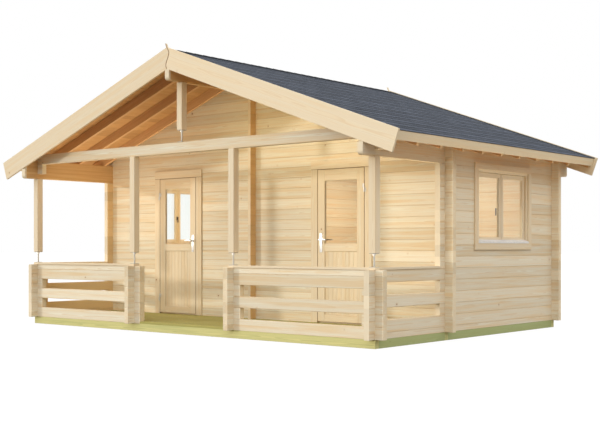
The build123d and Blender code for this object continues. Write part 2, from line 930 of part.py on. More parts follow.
os.makedirs("parts", exist_ok=True)
for name, solids in nodes.items():
    children = [piece for solid in solids for piece in solid.solids()]
    export_step(Compound(children=children), f"parts/{name}.step")
    print(name, len(children))
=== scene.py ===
import json
import math
import random

import bmesh
import bpy
from mathutils import Matrix, Vector
from mathutils.bvhtree import BVHTree

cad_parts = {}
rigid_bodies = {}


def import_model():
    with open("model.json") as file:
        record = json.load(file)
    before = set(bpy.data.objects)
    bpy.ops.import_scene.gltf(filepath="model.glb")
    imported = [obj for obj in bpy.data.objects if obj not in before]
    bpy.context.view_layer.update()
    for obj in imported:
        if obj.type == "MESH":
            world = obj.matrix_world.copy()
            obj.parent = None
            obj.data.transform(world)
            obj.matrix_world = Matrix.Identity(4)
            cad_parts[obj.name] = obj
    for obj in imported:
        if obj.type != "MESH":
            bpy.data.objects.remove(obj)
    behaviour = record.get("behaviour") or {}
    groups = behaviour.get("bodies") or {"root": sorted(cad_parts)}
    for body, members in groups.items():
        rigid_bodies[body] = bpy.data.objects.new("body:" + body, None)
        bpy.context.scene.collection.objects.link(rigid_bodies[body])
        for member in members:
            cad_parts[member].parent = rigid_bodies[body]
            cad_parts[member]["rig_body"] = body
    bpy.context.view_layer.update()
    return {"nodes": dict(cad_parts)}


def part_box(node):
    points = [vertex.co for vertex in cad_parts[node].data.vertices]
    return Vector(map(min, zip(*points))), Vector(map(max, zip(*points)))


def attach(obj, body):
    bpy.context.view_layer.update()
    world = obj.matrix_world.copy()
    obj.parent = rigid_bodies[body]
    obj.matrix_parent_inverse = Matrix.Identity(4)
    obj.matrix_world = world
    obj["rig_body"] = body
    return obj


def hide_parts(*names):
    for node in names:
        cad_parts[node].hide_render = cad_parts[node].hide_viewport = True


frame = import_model()
print("stage 1: the packed cabin is loaded")

# The roof's slope, shared by everything that lies on it
boardsLow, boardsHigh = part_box("roof_boards")
roof = {"pitch": math.radians(19.85), "ridgeTop": boardsHigh.z, "front": boardsLow.y, "back": boardsHigh.y}
roof["boardEnd"] = boardsHigh.x / math.cos(roof["pitch"])
roof["coverEnd"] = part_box("roofing")[1].x / math.cos(roof["pitch"])


def slopeMatrix(side):
    # (down the slope, along the ridge, square off the boards' top) to the cabin's own frame
    c, s = math.cos(roof["pitch"]), math.sin(roof["pitch"])
    right = Matrix(((c, 0, s, 0), (0, 1, 0, 0), (-s, 0, c, roof["ridgeTop"]), (0, 0, 0, 1)))
    return right if side > 0 else Matrix.Rotation(math.pi, 4, "Z") @ right


def addObject(name, data):
    made = bpy.data.objects.new(name, data)
    bpy.context.scene.collection.objects.link(made)
    return made


# Camera: a person standing off the right front corner
cameraSettings = {"place": (9.6216, -11.1935, 1.0826), "turn": 40.24, "lens": 63.33, "shiftUp": 0.0585}


def makeCamera(settings):
    data = bpy.data.cameras.new("viewer")
    data.lens = settings["lens"]
    data.sensor_width = 36
    data.shift_y = settings["shiftUp"]
    data.clip_end = 400
    camera = addObject("viewer", data)
    camera.location = settings["place"]
    camera.rotation_euler = (math.pi / 2, 0, math.radians(settings["turn"]))
    bpy.context.scene.camera = camera


# Light: a low sun from the front left, a bright dome that fades out towards the horizon, a soft lamp in
# each room and warm fills under the veranda's roof, the gable and the eaves
keySettings = {"travel": (0.90, 1.0, -0.20), "strength": 1.0, "softness": 4.0, "colour": (1.0, 0.95, 0.85)}
skySettings = {
    "strength": 1.44,
    "low": 0.28,               # its strength at the horizon
    "fade": (0.05, 0.34),      # heights of the unit dome between which it brightens
    "colour": (1.0, 0.99, 0.97),
}
railY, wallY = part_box("handrails")[0].y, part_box("front_wall_centre")[0].y
roomLow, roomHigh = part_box("cabin_floor")
roomY, roomSize = (roomLow.y + roomHigh.y) / 2, (roomHigh.x * 0.7, (roomHigh.y - roomLow.y) * 0.7)
lampSettings = {
    # place, tilt (0 faces down, 90 the back and 180 up), size, watts, colour, spread
    "leftRoom": ((-roomHigh.x / 2, roomY, 2.28), 0, roomSize, 33.0, (1.0, 0.89, 0.67), 180),
    "rightRoom": ((roomHigh.x / 2, roomY, 2.28), 0, roomSize, 33.0, (1.0, 0.89, 0.67), 180),
    "leftWall": ((-2.1, railY + 0.12, 1.50), 98, (1.4, 1.15), 5.1, (1.0, 0.94, 0.74), 180),
    "rightWall": ((2.1, railY + 0.12, 1.50), 98, (1.4, 1.15), 6.4, (1.0, 0.94, 0.74), 180),
    "roof": ((-1.9, (railY + wallY) / 2, 0.96), 180, (2.0, 0.9), 9.2, (1.0, 0.82, 0.62), 110),
    "gable": ((0.9, railY + 0.16, 2.46), 92, (3.0, 0.22), 4.8, (1.0, 0.86, 0.48), 110),
    "leftEave": ((-3.24, 0, 0.90), 180, (0.36, 4.3), 5.5, (1.0, 0.84, 0.60), 46),
    "rightEave": ((3.24, 0, 0.90), 180, (0.36, 4.3), 5.5, (1.0, 0.84, 0.60), 46),
}


def makeLights(keyLight, lamps):
    data = bpy.data.lights.new("key", "SUN")
    data.energy = keyLight["strength"]
    data.angle = math.radians(keyLight["softness"])
    data.color = keyLight["colour"]
    key = addObject("key", data)
    key.rotation_mode = "QUATERNION"
    key.rotation_quaternion = Vector(keyLight["travel"]).to_track_quat("-Z", "Y")
    for name, (place, tilt, size, watts, colour, spread) in lamps.items():
        # these only light, and are seen nowhere
        data = bpy.data.lights.new(name, "AREA")
        data.shape = "RECTANGLE"
        data.size, data.size_y = size
        data.energy = watts
        data.color = colour
        data.spread = math.radians(spread)
        lamp = addObject(name, data)
        lamp.location = place
        lamp.rotation_euler = (math.radians(tilt), 0, 0)
        lamp.visible_camera = lamp.visible_transmission = lamp.visible_glossy = False


# Short names for the nodes that the finishes and the trees are built from
def addNode(tree, kind, inputs=None, **settings):
    # a node with its values, its links and, for a socket that takes several, a list; gives its outputs
    made = tree.nodes.new(kind)
    for key, value in settings.items():
        setattr(made, key, value)
    for key, given in (inputs or {}).items():
        for value in given if isinstance(given, list) else [given]:
            if isinstance(value, bpy.types.NodeSocket):
                tree.links.new(value, made.inputs[key])
            else:
                made.inputs[key].default_value = value
    return made.outputs


def calc(tree, operation, *values):
    return addNode(tree, "ShaderNodeMath", dict(enumerate(values)), operation=operation)[0]


def times(tree, value, *others):
    for other in others:
        value = calc(tree, "MULTIPLY", value, other)
    return value


def vectorCalc(tree, operation, *values):
    made = addNode(tree, "ShaderNodeVectorMath", dict(enumerate(values)), operation=operation)
    return made["Value" if operation == "LENGTH" else "Vector"]


def scaled(tree, vector, scale):
    return addNode(tree, "ShaderNodeVectorMath", {0: vector, "Scale": scale}, operation="SCALE")[0]


def remap(tree, value, fromLow, fromHigh, toLow, toHigh, kind="LINEAR"):
    inputs = {"Value": value, "From Min": fromLow, "From Max": fromHigh, "To Min": toLow, "To Max": toHigh}
    return addNode(tree, "ShaderNodeMapRange", inputs, interpolation_type=kind)[0]


def smooth(tree, value, fromLow, fromHigh, toLow=0.0, toHigh=1.0):
    return remap(tree, value, fromLow, fromHigh, toLow, toHigh, "SMOOTHSTEP")


def blendColour(tree, share, first, second):
    first, second = [(*colour, 1) if isinstance(colour, tuple) else colour for colour in (first, second)]
    return addNode(tree, "ShaderNodeMix", {0: share, 6: first, 7: second}, data_type="RGBA")[2]


def noise(tree, vector, scale, detail=2.0, roughness=0.5, output="Fac"):
    # three scales stretch the pattern
    if isinstance(scale, tuple):
        vector, scale = vectorCalc(tree, "MULTIPLY", vector, scale), 1.0
    inputs = {"Vector": vector, "Scale": scale, "Detail": detail, "Roughness": roughness}
    return addNode(tree, "ShaderNodeTexNoise", inputs)[output]


def cells(tree, vector, scale):
    # a lattice of loose cells, and three random numbers for each
    made = addNode(tree, "ShaderNodeTexVoronoi", {"Vector": vector, "Scale": scale})
    return made, addNode(tree, "ShaderNodeSeparateColor", {"Color": made["Color"]})


def attribute(tree, name, output="Fac"):
    return addNode(tree, "ShaderNodeAttribute", attribute_name=name)[output]


def objectPoint(tree):
    return addNode(tree, "ShaderNodeTexCoord")["Object"]


def seenShare(tree):
    rays = addNode(tree, "ShaderNodeLightPath")
    seen = calc(tree, "MAXIMUM", rays["Is Camera Ray"], rays["Is Glossy Ray"])
    return calc(tree, "MAXIMUM", seen, rays["Is Transmission Ray"])


def newMaterial(name):
    made = bpy.data.materials.new(name)
    made.use_nodes = True
    made.node_tree.nodes.clear()
    return made, made.node_tree


def finishMaterial(tree, shader):
    addNode(tree, "ShaderNodeOutputMaterial", {"Surface": shader})


def finishSurface(tree, colour, roughness, height, depth, strength, more):
    # an opaque surface with a fine relief
    bump = addNode(tree, "ShaderNodeBump", {"Height": height, "Distance": depth, "Strength": strength})
    inputs = {"Base Color": colour, "Roughness": roughness, "Normal": bump[0], **more}
    finishMaterial(tree, addNode(tree, "ShaderNodeBsdfPrincipled", inputs)[0])


# Floor: white where it is seen, with the cabin's soft shadow, and dull in the light it throws back
floorSettings = {"halfSize": 150.0, "paint": (0.86, 0.86, 0.85), "dull": (0.22, 0.19, 0.15), "lift": 0.86,
                 "glow": 1.05}


def makeWorld(settings):
    world = bpy.data.worlds.new("studio")
    bpy.context.scene.world = world
    world.use_nodes = True
    tree = world.node_tree
    tree.nodes.clear()
    way = addNode(tree, "ShaderNodeTexCoord")["Generated"]
    height = addNode(tree, "ShaderNodeSeparateXYZ", {"Vector": way})["Z"]
    bright = smooth(tree, height, *settings["fade"], settings["low"], settings["strength"])
    sky = addNode(tree, "ShaderNodeBackground", {"Color": (*settings["colour"], 1), "Strength": bright})
    white = addNode(tree, "ShaderNodeBackground", {"Color": (1, 1, 1, 1)})
    both = addNode(tree, "ShaderNodeMixShader", {0: seenShare(tree), 1: sky[0], 2: white[0]})
    addNode(tree, "ShaderNodeOutputWorld", {"Surface": both[0]})


def makeFloor(settings):
    material, tree = newMaterial("studioFloor")
    tint = remap(tree, noise(tree, objectPoint(tree), 0.8), 0.0, 1.0, 0.97, 1.0)
    seen = seenShare(tree)
    colour = scaled(tree, blendColour(tree, seen, settings["dull"], settings["paint"]), tint)
    paint = addNode(tree, "ShaderNodeBsdfDiffuse", {"Color": colour})[0]
    glow = addNode(tree, "ShaderNodeEmission", {
        "Color": (1, 1, 1, 1), "Strength": settings["glow"]})[0]
    share = times(tree, seen, settings["lift"])
    finishMaterial(tree, addNode(tree, "ShaderNodeMixShader", {0: share, 1: paint, 2: glow})[0])
    mesh = bpy.data.meshes.new("studioFloor")
    h = settings["halfSize"]
    mesh.from_pydata([(-h, -h, 0), (h, -h, 0), (h, h, 0), (-h, h, 0)], [], [(0, 1, 2, 3)])
    mesh.materials.append(material)
    floor = addObject("studioFloor", mesh)


makeCamera(cameraSettings)
makeLights(keySettings, lampSettings)
makeWorld(skySettings)
makeFloor(floorSettings)
bpy.context.scene.view_settings.view_transform = "Standard"
print("stage 2: camera, light and floor")

# Timber finishes. Lengths are metres, colours are linear.
pineSettings = {
    "pale": (0.875, 0.815, 0.665),
    "late": (0.690, 0.490, 0.280),
    "heart": (0.835, 0.590, 0.290),
    "knot": (0.340, 0.160, 0.065),
    # joint: the colour of the V joints and narrow gaps, painted shade (with some dirt in the log joints)
    "joint": (0.60, 0.37, 0.18),
    "jointShare": 0.22,
    "end": (0.900, 0.735, 0.490),
    "endShare": 0.5,
    "ringSpacing": 0.0042,
    "ringShare": 0.42,
    "streakShare": 0.55,
    "knotShare": 0.50,
    "knotSpacing": (0.42, 0.11, 0.11),
    "knotRadius": (0.003, 0.013),
    "toneRange": (0.89, 1.05),
    "roughness": (0.56, 0.72),
    "reliefDepth": 0.0007,
}


def makeWood(name, **changes):
    # rings round a pith that runs along each piece, bent aside by knots, with fibres and broad streaks
    s = dict(pineSettings, **changes)
    material, tree = newMaterial(name)
    point, tone = attribute(tree, "woodPoint", "Vector"), attribute(tree, "tone")
    endGrain, joint = attribute(tree, "endGrain"), attribute(tree, "joint")

    # knots: one spot at most in each cell of a stretched lattice
    spacing = Vector(s["knotSpacing"])
    cell = vectorCalc(tree, "DIVIDE", point, spacing)
    spots, dice = cells(tree, cell, 1.0)
    away = vectorCalc(tree, "MULTIPLY", vectorCalc(tree, "SUBTRACT", cell, spots["Position"]), spacing)
    radius = remap(tree, dice[1], 0.0, 1.0, *s["knotRadius"])
    there = calc(tree, "LESS_THAN", dice[0], s["knotShare"])
    ratio = calc(tree, "DIVIDE", vectorCalc(tree, "LENGTH", away), radius)
    knot = times(tree, smooth(tree, ratio, 0.72, 1.0, 1.0, 0.0), there)
    halo = times(tree, smooth(tree, ratio, 0.8, 3.4, 1.0, 0.0), there)

    # rings
    bends = vectorCalc(tree, "SUBTRACT", noise(tree, point, (0.9, 7.0, 7.0), output="Color"), (0.5, 0.5, 0.5))
    bends = vectorCalc(tree, "MULTIPLY", bends, (0, 0.030, 0.030))
    radial = vectorCalc(tree, "ADD", vectorCalc(tree, "MULTIPLY", point, (0, 1, 1)), bends)
    radial = calc(tree, "MULTIPLY_ADD", halo, times(tree, radius, 0.9), vectorCalc(tree, "LENGTH", radial))
    years = calc(tree, "FRACT", calc(tree, "DIVIDE", radial, s["ringSpacing"]))
    latewood = times(tree, smooth(tree, years, 0.35, 0.92), remap(tree, years, 0.92, 1.0, 1.0, 0.0))
    wetYears = {"W": radial, "Scale": 70.0, "Detail": 2.0}
    wetYears = addNode(tree, "ShaderNodeTexNoise", wetYears, noise_dimensions="1D")["Fac"]
    wetYears = smooth(tree, wetYears, 0.35, 0.7)

    # fibres, and broad streaks of darker wood
    fibre = noise(tree, point, (14.0, 520.0, 520.0), 3.0, 0.6)
    streak = noise(tree, point, (0.9, 22.0, 22.0), 4.0, 0.55)
    streak = calc(tree, "ADD", streak, remap(tree, tone, 0.0, 1.0, 0.07, -0.05))
    streak = smooth(tree, streak, 0.44, 0.70)

    # a second colour that the tone blends towards: painted light on the treated bearers
    colour = blendColour(tree, tone, s["pale"], s["faded"]) if "faded" in s else s["pale"]
    if "porch" in s:
        # painted shade: the faces that look into the veranda are painted darker and warmer, for the shade and
        # the warm light bounced about under its roof
        side, front, back = s["porch"]
        spot = addNode(tree, "ShaderNodeSeparateXYZ", {"Vector": objectPoint(tree)})
        between = times(tree, calc(tree, "LESS_THAN", calc(tree, "ABSOLUTE", spot["X"]), side),
                        calc(tree, "GREATER_THAN", spot["Y"], front),
                        calc(tree, "LESS_THAN", spot["Y"], back))
        colour = blendColour(tree, between, colour, s["warm"])
    layers = ((latewood, s["ringShare"], s["late"]), (wetYears, s["streakShare"] * 0.6, s["heart"]),
              (streak, s["streakShare"], s["heart"]), (halo, 0.30, s["late"]), (knot, 0.85, s["knot"]),
              (endGrain, s["endShare"], s["end"]), (joint, s["jointShare"], s["joint"]))
    for mask, share, over in layers:
        colour = blendColour(tree, times(tree, mask, share), colour, over)
    light = times(tree, remap(tree, tone, 0.0, 1.0, *s["toneRange"]),
                  remap(tree, fibre, 0.3, 0.7, 0.965, 1.02), remap(tree, endGrain, 0.0, 1.0, 1.0, 0.96))
    relief = calc(tree, "MULTIPLY_ADD", latewood, 0.35, times(tree, fibre, 0.6))
    relief = calc(tree, "MULTIPLY_ADD", knot, 0.8, relief)
    shine = remap(tree, fibre, 0.25, 0.75, *s["roughness"])
    finishSurface(tree, scaled(tree, colour, light), shine, relief, s["reliefDepth"], 0.6,
                  {"Specular IOR Level": 0.3})
    return material


# Roofing felt shingles: mineral granules in several tints, and a tone of each tab's own
shingleSettings = {
    "dark": (0.023, 0.029, 0.041),
    "mid": (0.058, 0.072, 0.102),
    "light": (0.130, 0.148, 0.190),
    "seamShade": 0.20,
    "buttShade": 0.30,
    "rowShade": 0.80,
    "grain": 0.0022,
    "toneRange": (0.86, 1.12),
}


def makeShingle(name):
    s = shingleSettings
    material, tree = newMaterial(name)
    place = objectPoint(tree)
    grains, dice = cells(tree, place, 1.0 / s["grain"])
    colour = blendColour(tree, remap(tree, dice[0], 0.0, 0.6, 0.0, 1.0), s["dark"], s["mid"])
    colour = blendColour(tree, remap(tree, dice[1], 0.82, 0.86, 0.0, 0.8), colour, s["light"])
    # painted shadow where a row comes out from under the next, a painted highlight towards its lower edge,
    # painted shade on the butt faces, and every second row painted darker as shadow lines
    fall = attribute(tree, "fall")
    light = times(tree, remap(tree, attribute(tree, "tone"), 0.0, 1.0, *s["toneRange"]),
                  remap(tree, noise(tree, place, 3.0, 3.0), 0.3, 0.7, 0.88, 1.08),
                  smooth(tree, fall, 0.20, 0.34, s["seamShade"], 1.0),
                  remap(tree, fall, 0.70, 1.0, 1.0, 1.55),
                  remap(tree, attribute(tree, "row"), 0.0, 1.0, 1.06, s["rowShade"]),
                  remap(tree, attribute(tree, "butt"), 0.0, 1.0, 1.0, s["buttShade"]))
    height = calc(tree, "SUBTRACT", 1.0, grains["Distance"])
    rough = remap(tree, dice[2], 0.0, 1.0, 0.80, 0.98)
    finishSurface(tree, scaled(tree, colour, light), rough, height, 0.0006, 0.7, {"Specular IOR Level": 0.25})
    return material


def makeMetal(name, colour, metallic, roughness, patch, scratch):
    # patch: size of the soft spangles, scratch: how strongly fine brushing marks the surface
    material, tree = newMaterial(name)
    place = objectPoint(tree)
    dice = cells(tree, place, 1.0 / patch)[1][0]
    brushed = noise(tree, place, (900.0, 900.0, 60.0))
    tinted = scaled(tree, colour, remap(tree, dice, 0.0, 1.0, 0.90, 1.06))
    rough = calc(tree, "MULTIPLY_ADD", brushed, scratch, remap(tree, dice, 0.0, 1.0, *roughness))
    finishSurface(tree, tinted, rough, brushed, 0.0001, scratch, {"Metallic": metallic})
    return material


def makeGlass(name):
    # clear panes that let light pass straight through, with the faintest unevenness of tint
    material, tree = newMaterial(name)
    haze = remap(tree, noise(tree, objectPoint(tree), 2.5, 3.0), 0.3, 0.7, 0.0, 1.0)
    colour = blendColour(tree, haze, (0.955, 0.985, 0.97), (0.985, 1.0, 0.99))
    glass = addNode(tree, "ShaderNodeBsdfPrincipled", {
        "Base Color": colour, "Roughness": 0.0, "IOR": 1.45, "Transmission Weight": 1.0})
    clear = addNode(tree, "ShaderNodeBsdfTransparent", {"Color": (0.94, 0.97, 0.95, 1)})
    shadow = addNode(tree, "ShaderNodeLightPath")["Is Shadow Ray"]
    both = addNode(tree, "ShaderNodeMixShader", {0: shadow, 1: glass[0], 2: clear[0]})
    finishMaterial(tree, both[0])
    return material


def porchWood(name, front, warm):
    # timbers that run to the back, whose sides within the veranda get painted shade, darker and warmer, as
    # under the roof
    porch = (-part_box("left_wall")[1].x + 0.004, front, wallY + 0.005)
    return makeWood(name, endShare=0.85, end=(0.930, 0.810, 0.610), warm=warm, porch=porch)


finish = {
    "log": makeWood("logPine", pale=(0.915, 0.862, 0.706)),
    # painted shade: the colours given below paint the faces within the veranda darker and warmer, for the
    # shade and warm bounced light under its roof
    "warmLog": porchWood("warmPine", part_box("tie_beam")[1].y, (0.830, 0.620, 0.350)),
    "beam": porchWood("beamPine", roof["front"], (0.66, 0.38, 0.155)),
    "partition": porchWood("partitionPine", roof["front"], (0.78, 0.50, 0.24)),
    # the planed pine's dark joint colour is painted shade, in the gap round the door leaves and in the
    # bargeboards' joint at the peak
    "planed": makeWood("planedPine", knotShare=0.16, ringShare=0.30, streakShare=0.30,
                       pale=(0.865, 0.755, 0.570), toneRange=(0.94, 1.03), joint=(0.30, 0.15, 0.06),
                       jointShare=0.75, endShare=0.2),
    # painted shade: the roof boards' undersides and the rafters are painted darker and more orange, for the
    # shade and warm bounced light under the roof
    "roof": makeWood("roofPine", pale=(0.59, 0.35, 0.15), heart=(0.52, 0.27, 0.10), late=(0.44, 0.22, 0.08)),
    "rafter": makeWood("rafterPine", pale=(0.72, 0.45, 0.23), heart=(0.60, 0.33, 0.15),
                       late=(0.48, 0.25, 0.10)),
    "treated": makeWood("treatedPine", pale=(0.475, 0.425, 0.140), heart=(0.37, 0.36, 0.10),
                        late=(0.28, 0.275, 0.07), knot=(0.16, 0.15, 0.05), knotShare=0.3, endShare=0.0,
                        roughness=(0.68, 0.85)),
    "bearer": makeWood("treatedBearer", pale=(0.43, 0.50, 0.24), faded=(0.74, 0.68, 0.30),
                       heart=(0.44, 0.47, 0.19), late=(0.34, 0.37, 0.13), knot=(0.20, 0.17, 0.06),
                       knotShare=0.3, endShare=0.0, toneRange=(0.98, 1.08), roughness=(0.68, 0.85)),
    "floor": makeWood("floorPine", pale=(0.72, 0.53, 0.30)),
    "shingle": makeShingle("roofShingle"),
    "flashing": makeMetal("darkFlashing", (0.045, 0.048, 0.055), 0.2, (0.45, 0.55), 0.05, 0.15),
    "steel": makeMetal("galvanisedSteel", (0.78, 0.75, 0.69), 0.75, (0.34, 0.46), 0.006, 0.12),
    "zinc": makeMetal("dullZinc", (0.56, 0.52, 0.45), 0.7, (0.50, 0.62), 0.008, 0.10),
    "handle": makeMetal("brushedSteel", (0.74, 0.73, 0.71), 1.0, (0.22, 0.28), 0.02, 0.25),
    "dark": makeMetal("darkBronze", (0.060, 0.050, 0.045), 0.6, (0.35, 0.45), 0.01, 0.2),
    "sill": makeMetal("paleAluminium", (0.80, 0.79, 0.78), 0.0, (0.35, 0.45), 0.02, 0.08),
    "glass": makeGlass("clearPane"),
}
print("stage 3: finishes")


# Making pieces
def readMesh(mesh):
    bm = bmesh.new()
    bm.from_mesh(mesh)
    return bm


def writeMesh(bm, mesh):
    bm.to_mesh(mesh)
    bm.free()
    return mesh


def meshFrom(bm, name):
    bm.normal_update()
    return writeMesh(bm, bpy.data.meshes.new(name))


def looseParts(bm):
    bm.verts.ensure_lookup_table()
    seen, parts = set(), []
    for start in bm.verts:
        if start in seen:
            continue
        seen.add(start)
        part, stack = [], [start]
        while stack:
            v = stack.pop()
            part.append(v)
            for e in v.link_edges:
                other = e.other_vert(v)
                if other not in seen:
                    seen.add(other)
                    stack.append(other)
        parts.append(part)
    return parts


def boxOf(part):
    # the low and the high corner of some vertices
    return [Vector([pick(v.co[i] for v in part) for i in range(3)]) for pick in (min, max)]


def grainBasis(part, rule):
    # the way the grain runs, the way across it and the way through the piece
    low, high = boxOf(part)
    size = high - low
    if rule == "slope":
        side = 1 if low.x + high.x > 0 else -1
        along = Vector((side * math.cos(roof["pitch"]), 0, -math.sin(roof["pitch"])))
        through = Vector((0, 1, 0))
        return along, along.cross(through), through, (low + high) / 2, size.y
    order = sorted(range(3), key=lambda i: -size[i])
    axes = [Vector([1.0 if i == j else 0.0 for j in range(3)]) for i in order]
    return *axes, (low + high) / 2, size[order[2]]


def markGrain(mesh, seed, rule="long", joints=False, tones=None):
    # each loose part gets its own place in the wood and its own tone
    dice = random.Random(seed)
    bm = readMesh(mesh)
    pointLayer = bm.verts.layers.float_vector.new("woodPoint")
    toneLayer = bm.verts.layers.float.new("tone")
    endLayer = bm.faces.layers.float.new("endGrain")
    jointLayer = bm.faces.layers.float.new("joint")
    for part in looseParts(bm):
        along, across, through, centre, thickness = grainBasis(part, rule)
        tone = tones(along, dice) if tones else dice.random()
        shift = dice.uniform(0, 60)
        deep = dice.uniform(0.03, 0.11) if thickness < 0.05 else dice.uniform(0.0, 0.02)
        pith = (dice.uniform(-0.03, 0.03), deep * dice.choice((-1, 1)))
        faces = set()
        for v in part:
            p = v.co - centre
            v[pointLayer] = (p.dot(along) + shift, p.dot(across) + pith[0], p.dot(through) + pith[1])
            v[toneLayer] = tone
            faces.update(v.link_faces)
        for f in faces:
            f[endLayer] = 1.0 if abs(f.normal.dot(along)) > 0.8 else 0.0
            slanted = [abs(f.normal.dot(way)) for way in (across, through)]
            # the chamfer faces take the joint colour: painted shade in the V joint, with some dirt
            f[jointLayer] = 1.0 if joints and min(slanted) > 0.5 else 0.0
    writeMesh(bm, mesh)


def place(name, mesh, kind, body, replaced=()):
    mesh.materials.clear()
    mesh.materials.append(finish[kind])
    piece = addObject(name, mesh)
    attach(piece, body)
    if replaced:
        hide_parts(*replaced)
    return piece


def softenEdges(bm, width, along=None, segments=1, sharp=35):
    # takes the sharp outer edges off, all of them or only those that run one way
    chosen = []
    for e in bm.edges:
        if len(e.link_faces) != 2 or e.calc_face_angle_signed(0) < math.radians(sharp):
            continue
        if along is None or abs((e.verts[1].co - e.verts[0].co).normalized().dot(along)) >= 0.999:
            chosen.append(e)
    bevelEdges(bm, chosen, width, segments)


def bevelEdges(bm, edges, width, segments=1):
    bmesh.ops.bevel(bm, geom=edges, offset=width, offset_type="OFFSET", segments=segments,
                    profile=0.5, affect="EDGES", clamp_overlap=True)


def cleanCopy(node):
    bm = readMesh(frame["nodes"][node].data)
    bmesh.ops.remove_doubles(bm, verts=bm.verts, dist=2e-5)
    bmesh.ops.dissolve_limit(bm, angle_limit=math.radians(0.4), verts=bm.verts, edges=bm.edges)
    return bm


def partBoxes(node):
    bm = cleanCopy(node)
    boxes = [boxOf(part) for part in looseParts(bm)]
    bm.free()
    return boxes


def timber(node, kind, width, along=(None,), joints=False, rule="long", tones=None):
    # a copy of a node's timbers with softened edges, grain and tones
    bm = cleanCopy(node)
    for way in along:
        softenEdges(bm, width, way)
    mesh = meshFrom(bm, node + "_timber")
    markGrain(mesh, node, rule, joints, tones)
    return place(node + "_timber", mesh, kind, frame["nodes"][node]["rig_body"], [node])


# Logs: the long edges are chamfered, which draws the V joint between courses; its chamfer faces take the
# joint colour, painted shade with some dirt
logSettings = {"chamfer": 0.0044, "rounding": 0.0025, "bearerRounding": 0.003}
alongX, alongY = Vector((1, 0, 0)), Vector((0, 1, 0))
crossLogs = ("front_wall_left", "front_wall_centre", "front_wall_right", "front_gable", "back_wall",
             "tie_beam")
longLogs = {"left_wall": "warmLog", "right_wall": "warmLog", "partition_wall": "partition",
            "wall_plates": "beam", "ridge_beam": "beam"}
for node in crossLogs:
    timber(node, "log", logSettings["chamfer"], [alongX], True)
for node, kind in longLogs.items():
    timber(node, kind, logSettings["chamfer"], [alongY], True)
for node in ("railing_left", "railing_right"):
    timber(node, "log", logSettings["chamfer"], [alongX, alongY], True)
print("stage 4: logs")

# Planed and sawn timbers. The gap is the one round a door's leaf.
gapSettings = {"width": 0.005, "reach": 0.0035}
bargeSettings = {"rounding": 0.0025, "jointChamfer": 0.0065, "jointReach": 0.045}


def paintGapShade(mesh, low, high, reach):
    # painted shade on the sides of the narrow gap round a door's leaf
    for f in mesh.polygons:
        x, z = f.center.x, f.center.z
        if min(abs(x - low.x), abs(x - high.x), abs(z - high.z), abs(z - low.z)) < reach:
            mesh.attributes["joint"].data[f.index].value = 1.0


def bargeboards(node, s):
    # the curved joint at the peak gets a wider chamfer, whose faces take painted shade as a dark line
    bm = cleanCopy(node)
    outer = max(abs(v.co.y) for v in bm.verts)
    curve = [e for e in bm.edges if all(abs(v.co.x) < s["jointReach"] and abs(v.co.y) > outer - 0.0005
                                        for v in e.verts) and e.calc_face_angle(0) > math.radians(60)
             and abs((e.verts[1].co - e.verts[0].co).normalized().z) > 0.30]
    bevelEdges(bm, curve, s["jointChamfer"])
    softenEdges(bm, s["rounding"], sharp=50)
    mesh = meshFrom(bm, node + "_timber")
    markGrain(mesh, node, "slope")
    # painted shade on the chamfer faces of the curved joint
    for f in mesh.polygons:
        if abs(f.center.x) < s["jointReach"] and 0.3 < abs(f.normal.y) < 0.9 and f.normal.z < 0.9:
            mesh.attributes["joint"].data[f.index].value = 1.0
    place(node + "_timber", mesh, "planed", "root", [node])


def bearerLitShare(along, dice):
    # those that run along the front are painted paler: painted light for their sunlit faces
    return abs(along.x) * 0.85 + dice.random() * 0.15


for node in ("veranda_posts", "king_post", "handrails", "door_left_frame", "door_right_frame",
             "window_left_frame", "window_right_frame", "window_left_casing", "window_right_casing",
             "eave_boards"):
    timber(node, "planed", logSettings["rounding"])
for side in ("left", "right"):
    casing = timber(f"door_{side}_casing", "planed", logSettings["rounding"])
    low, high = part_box(f"door_{side}_leaf")
    gap = Vector((gapSettings["width"], 0, gapSettings["width"]))
    paintGapShade(casing.data, low - gap, high + gap, gapSettings["reach"])
for node in ("bargeboards_front", "bargeboards_rear"):
    bargeboards(node, bargeSettings)
timber("rafters", "rafter", logSettings["rounding"], rule="slope")
timber("foundation_bearers", "bearer", logSettings["bearerRounding"], tones=bearerLitShare)
print("stage 5: planed timbers")


# Rows and scatters, by geometry nodes
def newTree(name, **sockets):
    tree = bpy.data.node_groups.new(name, "GeometryNodeTree")
    tree.interface.new_socket("Geometry", in_out="INPUT", socket_type="NodeSocketGeometry")
    for label, kind in sockets.items():
        tree.interface.new_socket(label, in_out="INPUT", socket_type="NodeSocket" + kind)
    tree.interface.new_socket("Geometry", in_out="OUTPUT", socket_type="NodeSocketGeometry")
    return tree, addNode(tree, "NodeGroupInput")


def laidOut(tree, points, shape, turn=None):
    # one shape on each point, made real
    shape = addNode(tree, "GeometryNodeObjectInfo", {"Object": shape})["Geometry"]
    inputs = {"Points": points, "Instance": shape}
    if turn:
        inputs["Rotation"] = turn
    laid = addNode(tree, "GeometryNodeInstanceOnPoints", inputs)[0]
    return addNode(tree, "GeometryNodeRealizeInstances", {"Geometry": laid})[0]


def closeTree(tree, geometry, material):
    painted = addNode(tree, "GeometryNodeSetMaterial", {"Geometry": geometry, "Material": material})
    addNode(tree, "NodeGroupOutput", {0: painted[0]})
    return tree


